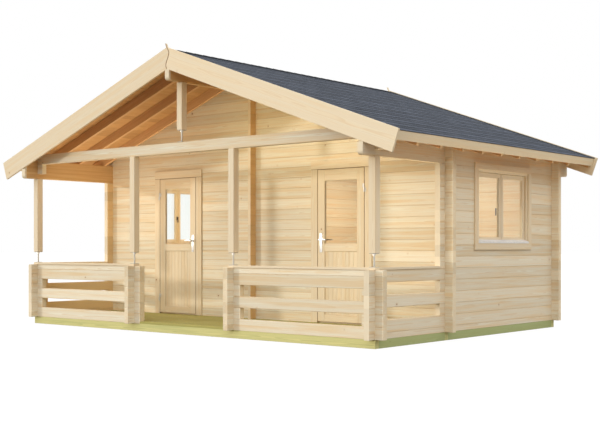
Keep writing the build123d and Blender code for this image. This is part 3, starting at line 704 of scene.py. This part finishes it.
def rowTree():
    # a line of points, a board on each, trimmed to a plate where one is given
    tree, given = newTree("boardRow", Board="Object", Count="Int", First="Vector", Step="Vector",
                          Trim="Object", Trimmed="Bool", Finish="Material")
    line = addNode(tree, "GeometryNodeMeshLine", {
        "Count": given["Count"], "Start Location": given["First"], "Offset": given["Step"]}, mode="OFFSET")
    real = laidOut(tree, line[0], given["Board"])
    plate = addNode(tree, "GeometryNodeObjectInfo", {"Object": given["Trim"]})["Geometry"]
    cut = addNode(tree, "GeometryNodeMeshBoolean", {"Mesh 2": [real, plate], "Self Intersection": False},
                  operation="INTERSECT", solver="EXACT")
    chosen = addNode(tree, "GeometryNodeSwitch", {
        "Switch": given["Trimmed"], "False": real, "True": cut[0]}, input_type="GEOMETRY")
    return closeTree(tree, chosen[0], given["Finish"])


def runTree(tree, values):
    # puts the tree on a bare object, reads the result as a plain mesh and clears everything away;
    # a mesh among the values goes in as an object that isn't shown
    holder = addObject("holder", bpy.data.meshes.new("holder"))
    modifier = holder.modifiers.new("row", "NODES")
    modifier.node_group = tree
    used = [holder]
    named = {item.name: item.identifier for item in tree.interface.items_tree if item.in_out == "INPUT"}
    for name, value in values.items():
        if isinstance(value, bpy.types.Mesh):
            value = addObject(name, value)
            value.hide_render = True
            used.append(value)
        modifier[named[name]] = finish[value] if name == "Finish" else value
    holder.update_tag()
    bpy.context.view_layer.update()
    evaluated = holder.evaluated_get(bpy.context.evaluated_depsgraph_get())
    mesh = bpy.data.meshes.new_from_object(evaluated)
    holder.modifiers.remove(modifier)
    for thing in used:
        bpy.data.objects.remove(thing)
    return mesh


def boxMesh(name, boxes, width, segments=1):
    # plain timbers, bars and strips with softened edges, from their low and high corners
    bm = bmesh.new()
    for low, high in boxes:
        centre, size = (Vector(low) + Vector(high)) / 2, Vector(high) - Vector(low)
        matrix = Matrix.Translation(centre) @ Matrix.Diagonal((*size, 1))
        bmesh.ops.create_cube(bm, size=1.0, matrix=matrix)
    if width:
        softenEdges(bm, width, None, segments)
    return meshFrom(bm, name)


def bothSlopes(name, make):
    # a piece made flat for each slope and then laid on it
    whole = bmesh.new()
    for side in (-1, 1):
        mesh = make(side)
        mesh.transform(slopeMatrix(side))
        whole.from_mesh(mesh)
    return meshFrom(whole, name)


boardRow = rowTree()
boardSettings = {
    "roofWidth": 0.096, "roofThickness": 0.0198, "joint": 0.0006, "groove": 0.004, "sink": 0.0002,
    "deck": {"width": 0.118, "gap": 0.005, "rounding": 0.003, "lift": 0.0004, "sink": 0.0002},
    "floor": {"width": 0.112, "gap": 0.0008, "rounding": 0.0012, "lift": 0.0004, "sink": 0.0002},
}


def roofBoards(s):
    # tongued boards under the roofing, from gable to gable, with a V joint on their undersides
    count = math.floor(roof["boardEnd"] / s["roofWidth"])
    width = roof["boardEnd"] / count
    bm = readMesh(boxMesh("roofBoard", [((0, roof["front"], -s["roofThickness"]),
                                         (width - s["joint"], roof["back"], -s["sink"]))], 0))
    under = [e for e in bm.edges if all(v.co.z < -s["roofThickness"] / 2 for v in e.verts)
             and abs((e.verts[1].co - e.verts[0].co).normalized().y) > 0.9]
    bmesh.ops.bevel(bm, geom=under, offset=s["groove"], segments=1, profile=0.5, affect="EDGES")
    board = meshFrom(bm, "roofBoard")
    mesh = bothSlopes("roofBoards", lambda side: runTree(boardRow, {
        "Board": board, "Count": count, "First": (0.0004, 0, 0), "Step": (width, 0, 0), "Finish": "roof"}))
    markGrain(mesh, "roofBoards")
    place("roof_boards_row", mesh, "roof", "root", ["roof_boards"])


def plankFloor(node, name, s, kind):
    # planks along X over a floor node's outline, trimmed to it
    low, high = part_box(node)
    count = math.ceil((high.y - low.y) / s["width"])
    step = (high.y - low.y) / count
    reach = 0.01
    plank = boxMesh("plank", [((low.x - reach, 0, low.z + s["lift"]),
                               (high.x + reach, step - s["gap"], high.z - s["sink"]))], s["rounding"])
    mesh = runTree(boardRow, {"Board": plank, "Count": count, "First": (0, low.y + s["gap"] / 2, 0),
                              "Step": (0, step, 0), "Trim": meshFrom(cleanCopy(node), "plate"),
                              "Trimmed": True, "Finish": kind})
    markGrain(mesh, name)
    place(name, mesh, kind, "root", [node])


roofBoards(boardSettings)
plankFloor("veranda_floor", "veranda_planks", boardSettings["deck"], "treated")
plankFloor("cabin_floor", "cabin_planks", boardSettings["floor"], "floor")
print("stage 6: boards")

# Shingles: rows of three-tab strips up each slope, each row lapping the one below
shingleSizes = {
    "exposure": 0.145,
    "tab": 1.0 / 3.0,
    "slot": 0.007,
    "lap": 0.030,
    "butt": 0.0046,        # how far a tab's lower edge stands off the row below
    "sheet": 0.0022,
    "base": 0.0004,
    "peak": 0.002,         # the rows and their sheet stop this far from the ridge line
    "inset": 0.001,        # from the boards' front and back ends
    "jitter": 0.0025,
    "ridgeWidth": 0.13,
    "ridgeLap": 0.05,
    "ridgeLift": 0.0072,
    "ridgeButt": 0.0042,
    "ridgeSheet": 0.003,
}
vergeSettings = {"width": 0.045, "thick": 0.0016, "foot": 0.0085, "lip": 0.0145, "top": 0.02, "rim": 0.0005,
                 "rounding": 0.0004}


def shingleTree():
    tree, given = newTree("shingleRows", Tab="Object", Rows="Int", Columns="Int", Exposure="Float",
                          Pitch="Float", First="Vector", Jitter="Float", Seed="Int", Finish="Material")
    total = times(tree, given["Rows"], given["Columns"])
    points = addNode(tree, "GeometryNodePoints", {"Count": total})[0]
    index = addNode(tree, "GeometryNodeInputIndex")[0]
    row = calc(tree, "FLOOR", calc(tree, "DIVIDE", calc(tree, "ADD", index, 0.5), given["Columns"]))
    column = calc(tree, "SUBTRACT", index, times(tree, row, given["Columns"]))
    odd = calc(tree, "MODULO", row, 2.0)
    loose = addNode(tree, "FunctionNodeRandomValue", {
        "Min": (-1, -1, 0), "Max": (1, 1, 0), "Seed": given["Seed"]}, data_type="FLOAT_VECTOR")
    loose = scaled(tree, loose["Value"], given["Jitter"])
    down = times(tree, row, times(tree, given["Exposure"], -1.0))
    along = times(tree, calc(tree, "ADD", column, times(tree, odd, 0.5)), given["Pitch"])
    spot = addNode(tree, "ShaderNodeCombineXYZ", {"X": down, "Y": along})[0]
    spot = vectorCalc(tree, "ADD", vectorCalc(tree, "ADD", spot, given["First"]), loose)
    placed = addNode(tree, "GeometryNodeSetPosition", {"Geometry": points, "Position": spot})[0]
    placed = addNode(tree, "GeometryNodeStoreNamedAttribute", {
        "Geometry": placed, "Name": "row", "Value": odd}, data_type="FLOAT")[0]
    return closeTree(tree, laidOut(tree, placed, given["Tab"]), given["Finish"])


def markTone(mesh, seed):
    dice = random.Random(seed)
    bm = readMesh(mesh)
    layer = bm.verts.layers.float.new("tone")
    for part in looseParts(bm):
        tone = dice.random()
        for v in part:
            v[layer] = tone
    writeMesh(bm, mesh)


def cutBeyond(mesh, point, normal):
    # trims a mesh of closed shapes at a plane and closes what was cut
    bm = readMesh(mesh)
    geometry = list(bm.verts) + list(bm.edges) + list(bm.faces)
    bmesh.ops.bisect_plane(bm, geom=geometry, dist=1e-6, plane_co=point, plane_no=normal, clear_outer=True)
    bmesh.ops.holes_fill(bm, edges=[e for e in bm.edges if len(e.link_faces) == 1], sides=0)
    writeMesh(bm, mesh)


def shingleTab(s):
    # a wedge: thin at the top, standing off at its lower edge
    length, foot = s["exposure"] + s["lap"], s["butt"] - s["sheet"]
    points = [(x, y, z) for y in (s["slot"] / 2, s["tab"] - s["slot"] / 2)
              for x, z in ((-length, 0), (0, foot), (0, s["butt"]), (-length, s["sheet"]))]
    faces = [(0, 1, 2, 3), (7, 6, 5, 4), (4, 5, 1, 0), (5, 6, 2, 1), (6, 7, 3, 2), (7, 4, 0, 3)]
    wedge = bpy.data.meshes.new("tab")
    wedge.from_pydata(points, [], faces)
    # fall and the butt face carry each tab's painted shade and highlight
    fall = wedge.attributes.new("fall", "FLOAT", "POINT")
    for i, p in enumerate(points):
        fall.data[i].value = 1 + p[0] / length
    butt = wedge.attributes.new("butt", "FLOAT", "FACE")
    for i in range(len(faces)):
        butt.data[i].value = 1.0 if i == 3 else 0.0
    return wedge


def shingles(s):
    eave = roof["coverEnd"] - 0.003
    front, back = roof["front"] + s["inset"], roof["back"] - s["inset"]
    tab, tree = shingleTab(s), shingleTree()

    def slope(side):
        mesh = runTree(tree, {
            "Tab": tab, "Rows": math.ceil(eave / s["exposure"]),
            "Columns": math.ceil((roof["back"] - roof["front"]) / s["tab"]) + 1,
            "Exposure": s["exposure"], "Pitch": s["tab"],
            "First": (eave, roof["front"] - s["tab"] / 2, s["base"] + s["sheet"]), "Jitter": s["jitter"],
            "Seed": 7 + side, "Finish": "shingle"})
        cutBeyond(mesh, (s["peak"], 0, 0), (-1, 0, 0))
        cutBeyond(mesh, (0, front, 0), (0, -1, 0))
        cutBeyond(mesh, (0, back, 0), (0, 1, 0))
        # the sheet under them closes the slots
        whole = readMesh(mesh)
        sheet = ((s["peak"], front, s["base"]), (eave - 0.002, back, s["base"] + s["sheet"]))
        whole.from_mesh(boxMesh("sheet", [sheet], 0))
        return meshFrom(whole, "slope")

    mesh = bothSlopes("shingles", slope)
    markTone(mesh, "shingles")
    place("roof_shingles", mesh, "shingle", "root", ["roofing"])


def ridgeShingles(s):
    # bent pieces over the ridge, each lapping the next
    c, t = math.cos(roof["pitch"]), math.tan(roof["pitch"])
    reach, end = s["ridgeWidth"] * c, 0.002
    length = s["exposure"] + s["ridgeLap"]
    section = [(-reach, -reach * t), (0, 0), (reach, -reach * t)]
    points = []
    for y, off in ((0, s["ridgeButt"]), (length, 0.0)):
        points += [(x, y, z + off + s["ridgeSheet"]) for x, z in section]
        points += [(x, y, z + off) for x, z in reversed(section)]
    faces = [(0, 1, 4, 5), (1, 2, 3, 4), (6, 11, 10, 7), (7, 10, 9, 8)]
    faces += [(i, i + 6, (i + 1) % 6 + 6, (i + 1) % 6) for i in range(6)]
    cap = bpy.data.meshes.new("cap")
    cap.from_pydata(points, [], faces)
    bm = readMesh(cap)
    bmesh.ops.recalc_face_normals(bm, faces=bm.faces)
    count = math.floor((roof["back"] - roof["front"] - length) / s["exposure"]) + 1
    step = (roof["back"] - roof["front"] - 2 * end - length) / (count - 1)
    mesh = runTree(boardRow, {"Board": meshFrom(bm, "cap"), "Count": count,
                              "First": (0, roof["front"] + end, roof["ridgeTop"] + s["ridgeLift"] / c),
                              "Step": (0, step, 0), "Finish": "shingle"})
    markTone(mesh, "ridge")
    place("ridge_shingles", mesh, "shingle", "root", ["ridge_cap"])


def vergeStrips(s):
    # the dark folded strip along each gable, beside the bargeboards
    eave, rim = roof["coverEnd"] - 0.006, s["rim"]
    boxes = []
    for y0, y1 in ((roof["front"] + rim, roof["front"] + s["width"]),
                   (roof["back"] - s["width"], roof["back"] - rim)):
        boxes.append(((s["top"], y0, s["foot"]), (eave, y1, s["foot"] + s["thick"])))
        edge = y0 if y0 < 0 else y1 - s["thick"]
        boxes.append(((s["top"], edge, s["foot"]), (eave, edge + s["thick"], s["lip"])))
    mesh = bothSlopes("verge", lambda side: boxMesh("verge", boxes, s["rounding"]))
    place("verge_strips", mesh, "flashing", "root")


shingles(shingleSizes)
ridgeShingles(shingleSizes)
vergeStrips(vergeSettings)
print("stage 7: roofing")

# Doors: framed leaf with a pane above and upright tongued boards below
doorSettings = {
    "stile": 0.110, "topRail": 0.140, "middleRail": 0.092, "bottomRail": 0.085, "panel": 0.805,
    "rounding": 0.0025, "bead": 0.006, "beadInset": 0.004, "boards": 8, "boardGroove": 0.0030,
    "boardThickness": 0.022, "glassHalf": 0.0085, "panelHalf": 0.0125, "seam": 0.0002,
}


def spanned(low, high, spans):
    # the box between two corners, with its reach along some axes changed
    low, high = Vector(low), Vector(high)
    for axis, (a, b) in spans.items():
        low[axis], high[axis] = a, b
    return low, high


def addFrame(boxes, low, high, width, line, seam=0.0):
    # four strips round an opening, uprights the whole height; its level strips run along the line axis
    for ends in ((low[line], low[line] + width), (high[line] - width, high[line])):
        boxes.append(spanned(low, high, {line: ends}))
    inner = (low[line] + width + seam, high[line] - width - seam)
    for ends in ((low.z, low.z + width), (high.z - width, high.z)):
        boxes.append(spanned(low, high, {line: inner, 2: ends}))


def doorLeaf(side, s):
    node, body = f"door_{side}_leaf", f"door_{side}"
    low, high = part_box(node)
    panelFoot = low.z + s["bottomRail"]
    panelHead = panelFoot + s["panel"]
    glassFoot, glassHead = panelHead + s["middleRail"], high.z - s["topRail"]
    inner0, inner1 = low.x + s["stile"], high.x - s["stile"]
    boxes = [spanned(low, high, {0: (low.x, inner0)}), spanned(low, high, {0: (inner1, high.x)})]
    for rail in ((low.z, panelFoot), (panelHead, glassFoot), (glassHead, high.z)):
        boxes.append(spanned(low, high, {0: (inner0 + s["seam"], inner1 - s["seam"]), 2: rail}))
    mesh = boxMesh(node, boxes, s["rounding"])
    markGrain(mesh, node)
    # painted shade on the leaf's faces beside its gap
    paintGapShade(mesh, low, high, gapSettings["reach"])
    place(f"door_{side}_rails_and_stiles", mesh, "planed", body, [node])

    # beads that hold the pane and the boards, on both faces
    middle = (low.y + high.y) / 2
    beads = []
    for z0, z1, half in ((glassFoot, glassHead, s["glassHalf"]), (panelFoot, panelHead, s["panelHalf"])):
        for y0, y1 in ((low.y + s["beadInset"], middle - half), (middle + half, high.y - s["beadInset"])):
            addFrame(beads, Vector((inner0, y0, z0)), Vector((inner1, y1, z1)), s["bead"], 0)
    mesh = boxMesh("beads", beads, s["rounding"])
    markGrain(mesh, "beads" + side)
    place(f"door_{side}_beads", mesh, "planed", body)

    # upright boards
    width, half, end = (inner1 - inner0) / s["boards"], s["boardThickness"] / 2, 0.0005
    board = boxMesh("board", [((s["seam"], -half, panelFoot + end),
                               (width - s["seam"], half, panelHead - end))], s["boardGroove"])
    mesh = runTree(boardRow, {"Board": board, "Count": s["boards"], "First": (inner0, middle, 0),
                              "Step": (width, 0, 0), "Finish": "planed"})
    markGrain(mesh, "panel" + side)
    place(f"door_{side}_upright_boards", mesh, "planed", body, [f"door_{side}_panel"])


for side in ("left", "right"):
    doorLeaf(side, doorSettings)
print("stage 8: doors")

# Windows: two casements with a cover strip, a sloped pale bar below and an inside handle
windowSettings = {"stile": 0.050, "rounding": 0.003, "bead": 0.005, "beadRounding": 0.002, "beadInset": 0.004,
                  "glassHalf": 0.0085, "seam": 0.0002, "halfGap": 0.002, "cover": 0.036, "coverRise": 0.009}


def windowSashes(side, s):
    node, way = f"window_{side}_sashes", 1 if side == "right" else -1
    low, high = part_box(node)
    middle, centre = (low.x + high.x) / 2, (low.y + high.y) / 2
    boxes, beads = [], []
    for y0, y1 in ((low.y, centre - s["halfGap"]), (centre + s["halfGap"], high.y)):
        addFrame(boxes, *spanned(low, high, {1: (y0, y1)}), s["stile"], 1, s["seam"])
        pane = {1: (y0 + s["stile"], y1 - s["stile"]), 2: (low.z + s["stile"], high.z - s["stile"])}
        for deep in ((low.x + s["beadInset"], middle - s["glassHalf"]),
                     (middle + s["glassHalf"], high.x - s["beadInset"])):
            addFrame(beads, *spanned(low, high, {0: deep, **pane}), s["bead"], 1)
    outer = high.x if side == "right" else low.x
    boxes.append(spanned(low, high, {0: sorted((outer + way * 0.0003, outer + way * s["coverRise"])),
                                     1: (centre - s["cover"] / 2, centre + s["cover"] / 2),
                                     2: (low.z + 0.04, high.z - 0.004)}))
    mesh = boxMesh(node, boxes, s["rounding"])
    markGrain(mesh, node)
    place(f"window_{side}_casements", mesh, "planed", "root", [node])
    mesh = boxMesh(node, beads, s["beadRounding"])
    markGrain(mesh, "beads" + node)
    place(f"window_{side}_beads", mesh, "planed", "root")


for side in ("left", "right"):
    windowSashes(side, windowSettings)
print("stage 9: windows")

# Ironwork: jacks, door furniture, hinges, window handles and screws
ironSettings = {
    "plate": 0.006, "jackRounding": 0.001, "rod": 0.0098, "thread": 0.0118, "threadRoot": 0.0088,
    "threadHalf": 0.0016, "threadFoot": 0.004, "pitch": 0.0035, "nutFlats": 0.036, "nutHeight": 0.018,
    "nutChamfer": 0.002, "nutEnd": 0.90,
    "screw": 0.0042, "screwRise": 0.0016, "deckScrew": 0.0045, "deckRise": 0.0008, "plateScrew": 0.0034,
    "plateScrewRise": 0.0007, "plateScrewInset": 0.014, "jackScrewInset": 0.012,
    "cylinder": 0.0085, "cylinderDrop": 0.072, "collar": (0.0101, 0.0142), "collarDepth": 0.003,
    "leverRounding": 0.0032, "plateRounding": 0.0012, "hingeRounding": 0.0012, "pinRadius": 0.0062,
    "pinRise": 0.004, "hingeAxis": 1.8505, "sillRounding": 0.0008, "casingInset": 0.040,
    "railScrewStep": 0.55, "railScrewInset": 0.06,
}


def turned(bm, matrix, profile, sides, ring=False):
    # a turned shape from (radius, height) pairs, closed at its ends or bent round into a ring
    rows = []
    for radius, height in profile:
        rows.append([bm.verts.new(matrix @ Vector((radius * math.cos(math.tau * i / sides),
                                                   radius * math.sin(math.tau * i / sides), height)))
                     for i in range(sides)])
    pairs = list(zip(rows, rows[1:])) + ([(rows[-1], rows[0])] if ring else [])
    for lower, upper in pairs:
        for i in range(sides):
            j = (i + 1) % sides
            bm.faces.new((lower[i], lower[j], upper[j], upper[i]))
    if not ring:
        bm.faces.new(rows[0][::-1])
        bm.faces.new(rows[-1])


def facing(spot, way):
    # a frame at a spot whose height runs one way
    return Matrix.Translation(spot) @ Vector(way).to_track_quat("Z", "Y").to_matrix().to_4x4()


def shadeSmooth(mesh, angle):
    mesh.shade_smooth()
    mesh.set_sharp_from_angle(angle=math.radians(angle))
    return mesh


def smoothed(bm, name, angle=38):
    bmesh.ops.recalc_face_normals(bm, faces=bm.faces)
    return shadeSmooth(meshFrom(bm, name), angle)


def joined(name, meshes):
    bm = bmesh.new()
    for mesh in meshes:
        bm.from_mesh(mesh)
    return shadeSmooth(meshFrom(bm, name), 30)


def scatterTree():
    # one shape on every point of a bare mesh, each turned one way and spun at random
    tree, given = newTree("screwScatter", Shape="Object", Spots="Object", Turn="Vector", Spin="Float",
                          Seed="Int", Finish="Material")
    dice = addNode(tree, "FunctionNodeRandomValue", {"Seed": given["Seed"]}, data_type="FLOAT")[1]
    spin = addNode(tree, "ShaderNodeCombineXYZ", {"Z": times(tree, dice, given["Spin"])})[0]
    spin, turn = [addNode(tree, "FunctionNodeEulerToRotation", {"Euler": way})[0]
                  for way in (spin, given["Turn"])]
    turn = addNode(tree, "FunctionNodeRotateRotation", {"Rotation": turn, "Rotate By": spin},
                   rotation_space="LOCAL")
    spots = addNode(tree, "GeometryNodeObjectInfo", {"Object": given["Spots"]})["Geometry"]
    return closeTree(tree, laidOut(tree, spots, given["Shape"], turn[0]), given["Finish"])


screwScatter = scatterTree()


def screws(spots, way, radius, rise, seed, kind="steel"):
    # low domed heads with a recess in their tops, on a list of spots and all facing one way
    bm, hollow = bmesh.new(), radius * 0.42
    turned(bm, Matrix(), [(radius, -0.0003), (radius, rise * 0.4), (radius * 0.8, rise), (hollow, rise),
                          (hollow * 0.9, rise * 0.35)], 6)
    points = bpy.data.meshes.new("spots")
    points.from_pydata(spots, [], [])
    turn = Vector(way).to_track_quat("Z", "Y").to_euler()
    return runTree(screwScatter, {"Shape": smoothed(bm, "screwHead", 30), "Spots": points,
                                  "Turn": tuple(turn), "Spin": math.tau, "Seed": seed, "Finish": kind})


def postJacks(s):
    plates, rods, ring = bmesh.new(), bmesh.new(), bmesh.new()
    threads, heads = [], []
    root, half = s["threadRoot"], s["threadHalf"]
    turned(ring, Matrix(), [(root, -half), (s["thread"], 0.0), (root, half)], 14)
    thread = smoothed(ring, "thread")
    flat, tall, bend = s["nutFlats"] / 2 / math.cos(math.pi / 6), s["nutHeight"], s["nutChamfer"]
    narrow = flat * s["nutEnd"]
    for low, high in partBoxes("post_jacks"):
        x, y = (low.x + high.x) / 2, (low.y + high.y) / 2
        foot, head = low.z + s["plate"], high.z - s["plate"]
        for z0, z1 in ((low.z, foot), (head, high.z)):
            box = ((low.x, low.y, z0), (high.x, high.y, z1))
            plates.from_mesh(boxMesh("plate", [box], s["jackRounding"]))
        turned(rods, facing((x, y, foot), (0, 0, 1)), [(s["rod"], 0.0), (s["rod"], head - foot)], 14)
        turned(rods, facing((x, y, head - tall), (0, 0, 1)),
               [(narrow, 0.0), (flat, bend), (flat, tall - bend), (narrow, tall)], 6)
        threads.append(runTree(boardRow, {
            "Board": thread,
            "Count": math.floor((head - tall - foot - s["threadFoot"] - 0.002) / s["pitch"]),
            "First": (x, y, foot + s["threadFoot"]), "Step": (0, 0, s["pitch"]), "Finish": "steel"}))
        corner = (high.x - low.x) / 2 - s["jackScrewInset"]
        for way, z in ((1, foot), (-1, head)):
            spots = [(x + i * corner, y + j * corner, z) for i in (-1, 1) for j in (-1, 1)]
            heads.append(screws(spots, (0, 0, way), s["screw"], s["screwRise"], 5))
    place("jack_plates", meshFrom(plates, "jackPlates"), "zinc", "root", ["post_jacks"])
    whole = joined("jackRods", [smoothed(rods, "rods")] + threads + heads)
    place("jack_rods_and_nuts", whole, "steel", "root")


def fitting(node, kind, width, segments, ends=()):
    # a metal node with rounded edges, and turned ends added to it
    bm = cleanCopy(node)
    softenEdges(bm, width, None, segments, 50)
    for end in ends:
        turned(bm, *end)
    mesh = smoothed(bm, node + "_dressed")
    place(node + "_dressed", mesh, kind, frame["nodes"][node]["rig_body"], [node])


def doorFurniture(side, s):
    low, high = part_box(f"door_{side}_plates")
    lever0, lever1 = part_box(f"door_{side}_lever")
    x, z = (low.x + high.x) / 2, (lever0.z + lever1.z) / 2
    ends, heads = [], []
    (inner, outer), deep, key = s["collar"], s["collarDepth"], s["cylinder"]
    collar = [(inner, 0), (outer, 0), (outer, deep * 0.6), (outer - 0.0015, deep), (inner, deep)]
    cylinder = [(key, 0), (key, 0.0025), (key - 0.001, 0.0035)]
    for y, way in ((low.y, -1), (high.y, 1)):
        ends.append((facing((x, y, z), (0, way, 0)), collar, 20, True))
        ends.append((facing((x, y - way * 0.0005, z - s["cylinderDrop"]), (0, way, 0)), cylinder, 18))
        spots = [(x, y, low.z + s["plateScrewInset"]), (x, y, high.z - s["plateScrewInset"])]
        heads.append(screws(spots, (0, way, 0), s["plateScrew"], s["plateScrewRise"], 11, "handle"))
    fitting(f"door_{side}_plates", "handle", s["plateRounding"], 2, ends)
    place(f"door_{side}_plate_screws", joined("plateScrews", heads), "handle", f"door_{side}")
    fitting(f"door_{side}_lever", "handle", s["leverRounding"], 3)


def hinges(node, s, way):
    # leaves with rounded edges, and the small cap on the outer end of each knuckle
    ends, r, h = [], s["pinRadius"], s["pinRise"]
    for low, high in partBoxes(node):
        end = (high.z if way > 0 else low.z) - way * 0.0006
        spot = (math.copysign(s["hingeAxis"], low.x), (low.y + high.y) / 2, end)
        ends.append((facing(spot, (0, 0, way)), [(r, 0), (r, h * 0.5), (r * 0.7, h)], 12))
    fitting(node, "steel", s["hingeRounding"], 1, ends)


# rose: the plate on the sash, grip: the bar that a hand takes
handleSettings = {
    "half": 0.0085, "axisDrop": 0.012, "roseDepth": 0.0065, "roseDrop": 0.046, "roseRounding": 0.002,
    "gripDepth": 0.0115, "gripTop": 0.003, "gripRounding": 0.0036, "neck": [(0.0060, 0), (0.0056, 0.014)],
    "neckSink": 0.0060,
}


def windowHandles(s):
    bm = bmesh.new()
    for low, high in partBoxes("window_handles"):
        side = 1 if low.x > 0 else -1
        sash, tip = (high.x, low.x) if side > 0 else (low.x, high.x)
        y, top, half = (low.y + high.y) / 2, high.z - s["axisDrop"], s["half"]
        rose = (sash - side * s["roseDepth"], sash, top - s["roseDrop"], high.z, s["roseRounding"])
        grip = (tip, tip + side * s["gripDepth"], low.z, high.z - s["gripTop"], s["gripRounding"])
        for x0, x1, z0, z1, width in (rose, grip):
            box = ((min(x0, x1), y - half, z0), (max(x0, x1), y + half, z1))
            bm.from_mesh(boxMesh("bar", [box], width, 2))
        turned(bm, facing((sash - side * s["neckSink"], y, top), (-side, 0, 0)), s["neck"], 14)
    place("window_handle_bars", smoothed(bm, "windowHandles"), "dark", "root", ["window_handles"])


def timberScrews(s):
    # two screws through each plank into each joist, and rows down the handrails and window casings
    deck = BVHTree.FromBMesh(cleanCopy("veranda_floor"))
    low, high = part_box("veranda_floor")
    count = math.ceil((high.y - low.y) / boardSettings["deck"]["width"])
    step = (high.y - low.y) / count
    joists = sorted({round((a.x + b.x) / 2, 4) for a, b in partBoxes("foundation_bearers")
                     if b.y - a.y > b.x - a.x and a.y < low.y + 0.5})
    spots = []
    for x in joists:
        for i in range(count):
            for share in (0.27, 0.73):
                spot = Vector((x, low.y + (i + share) * step, high.z))
                near = [deck.ray_cast(spot + Vector((dx, 0, 0.05)), (0, 0, -1))[0] for dx in (-0.01, 0, 0.01)]
                if None not in near:
                    spots.append(spot - Vector((0, 0, 0.0002)))
    meshes = [screws(spots, (0, 0, 1), s["deckScrew"], s["deckRise"], 21)]
    spots = []
    for a, b in partBoxes("handrails"):
        size, inset = b - a, s["railScrewInset"]
        line = 0 if size.x > size.y else 1
        number = max(2, round(size[line] / s["railScrewStep"]) + 1)
        for i in range(number):
            spot = (a + b) / 2
            spot[line] = a[line] + inset + (size[line] - 2 * inset) * i / (number - 1)
            spot.z = b.z - 0.0001
            spots.append(spot)
    meshes.append(screws(spots, (0, 0, 1), s["deckScrew"], s["deckRise"], 22))
    for way, side in ((-1, "left"), (1, "right")):
        a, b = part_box(f"window_{side}_casing")
        inset = s["casingInset"]
        spots = [(b.x if way > 0 else a.x, y, z) for y in (a.y + inset, b.y - inset)
                 for z in (a.z + inset, (a.z + b.z) / 2, b.z - inset)]
        meshes.append(screws(spots, (way, 0, 0), s["screw"], s["deckRise"], 23))
    place("timber_screws", joined("timberScrews", meshes), "steel", "root")


postJacks(ironSettings)
for side in ("left", "right"):
    doorFurniture(side, ironSettings)
    hinges(f"door_{side}_hinges", ironSettings, 1)
hinges("door_frame_hinges", ironSettings, -1)
fitting("window_sills", "sill", ironSettings["sillRounding"], 1)
windowHandles(handleSettings)
timberScrews(ironSettings)
print("stage 10: ironwork and screws")

# Panes keep their shape
for node in ("door_left_glass", "door_right_glass", "window_left_glass", "window_right_glass"):
    frame["nodes"][node].data.materials.clear()
    frame["nodes"][node].data.materials.append(finish["glass"])
print("stage 11: panes")
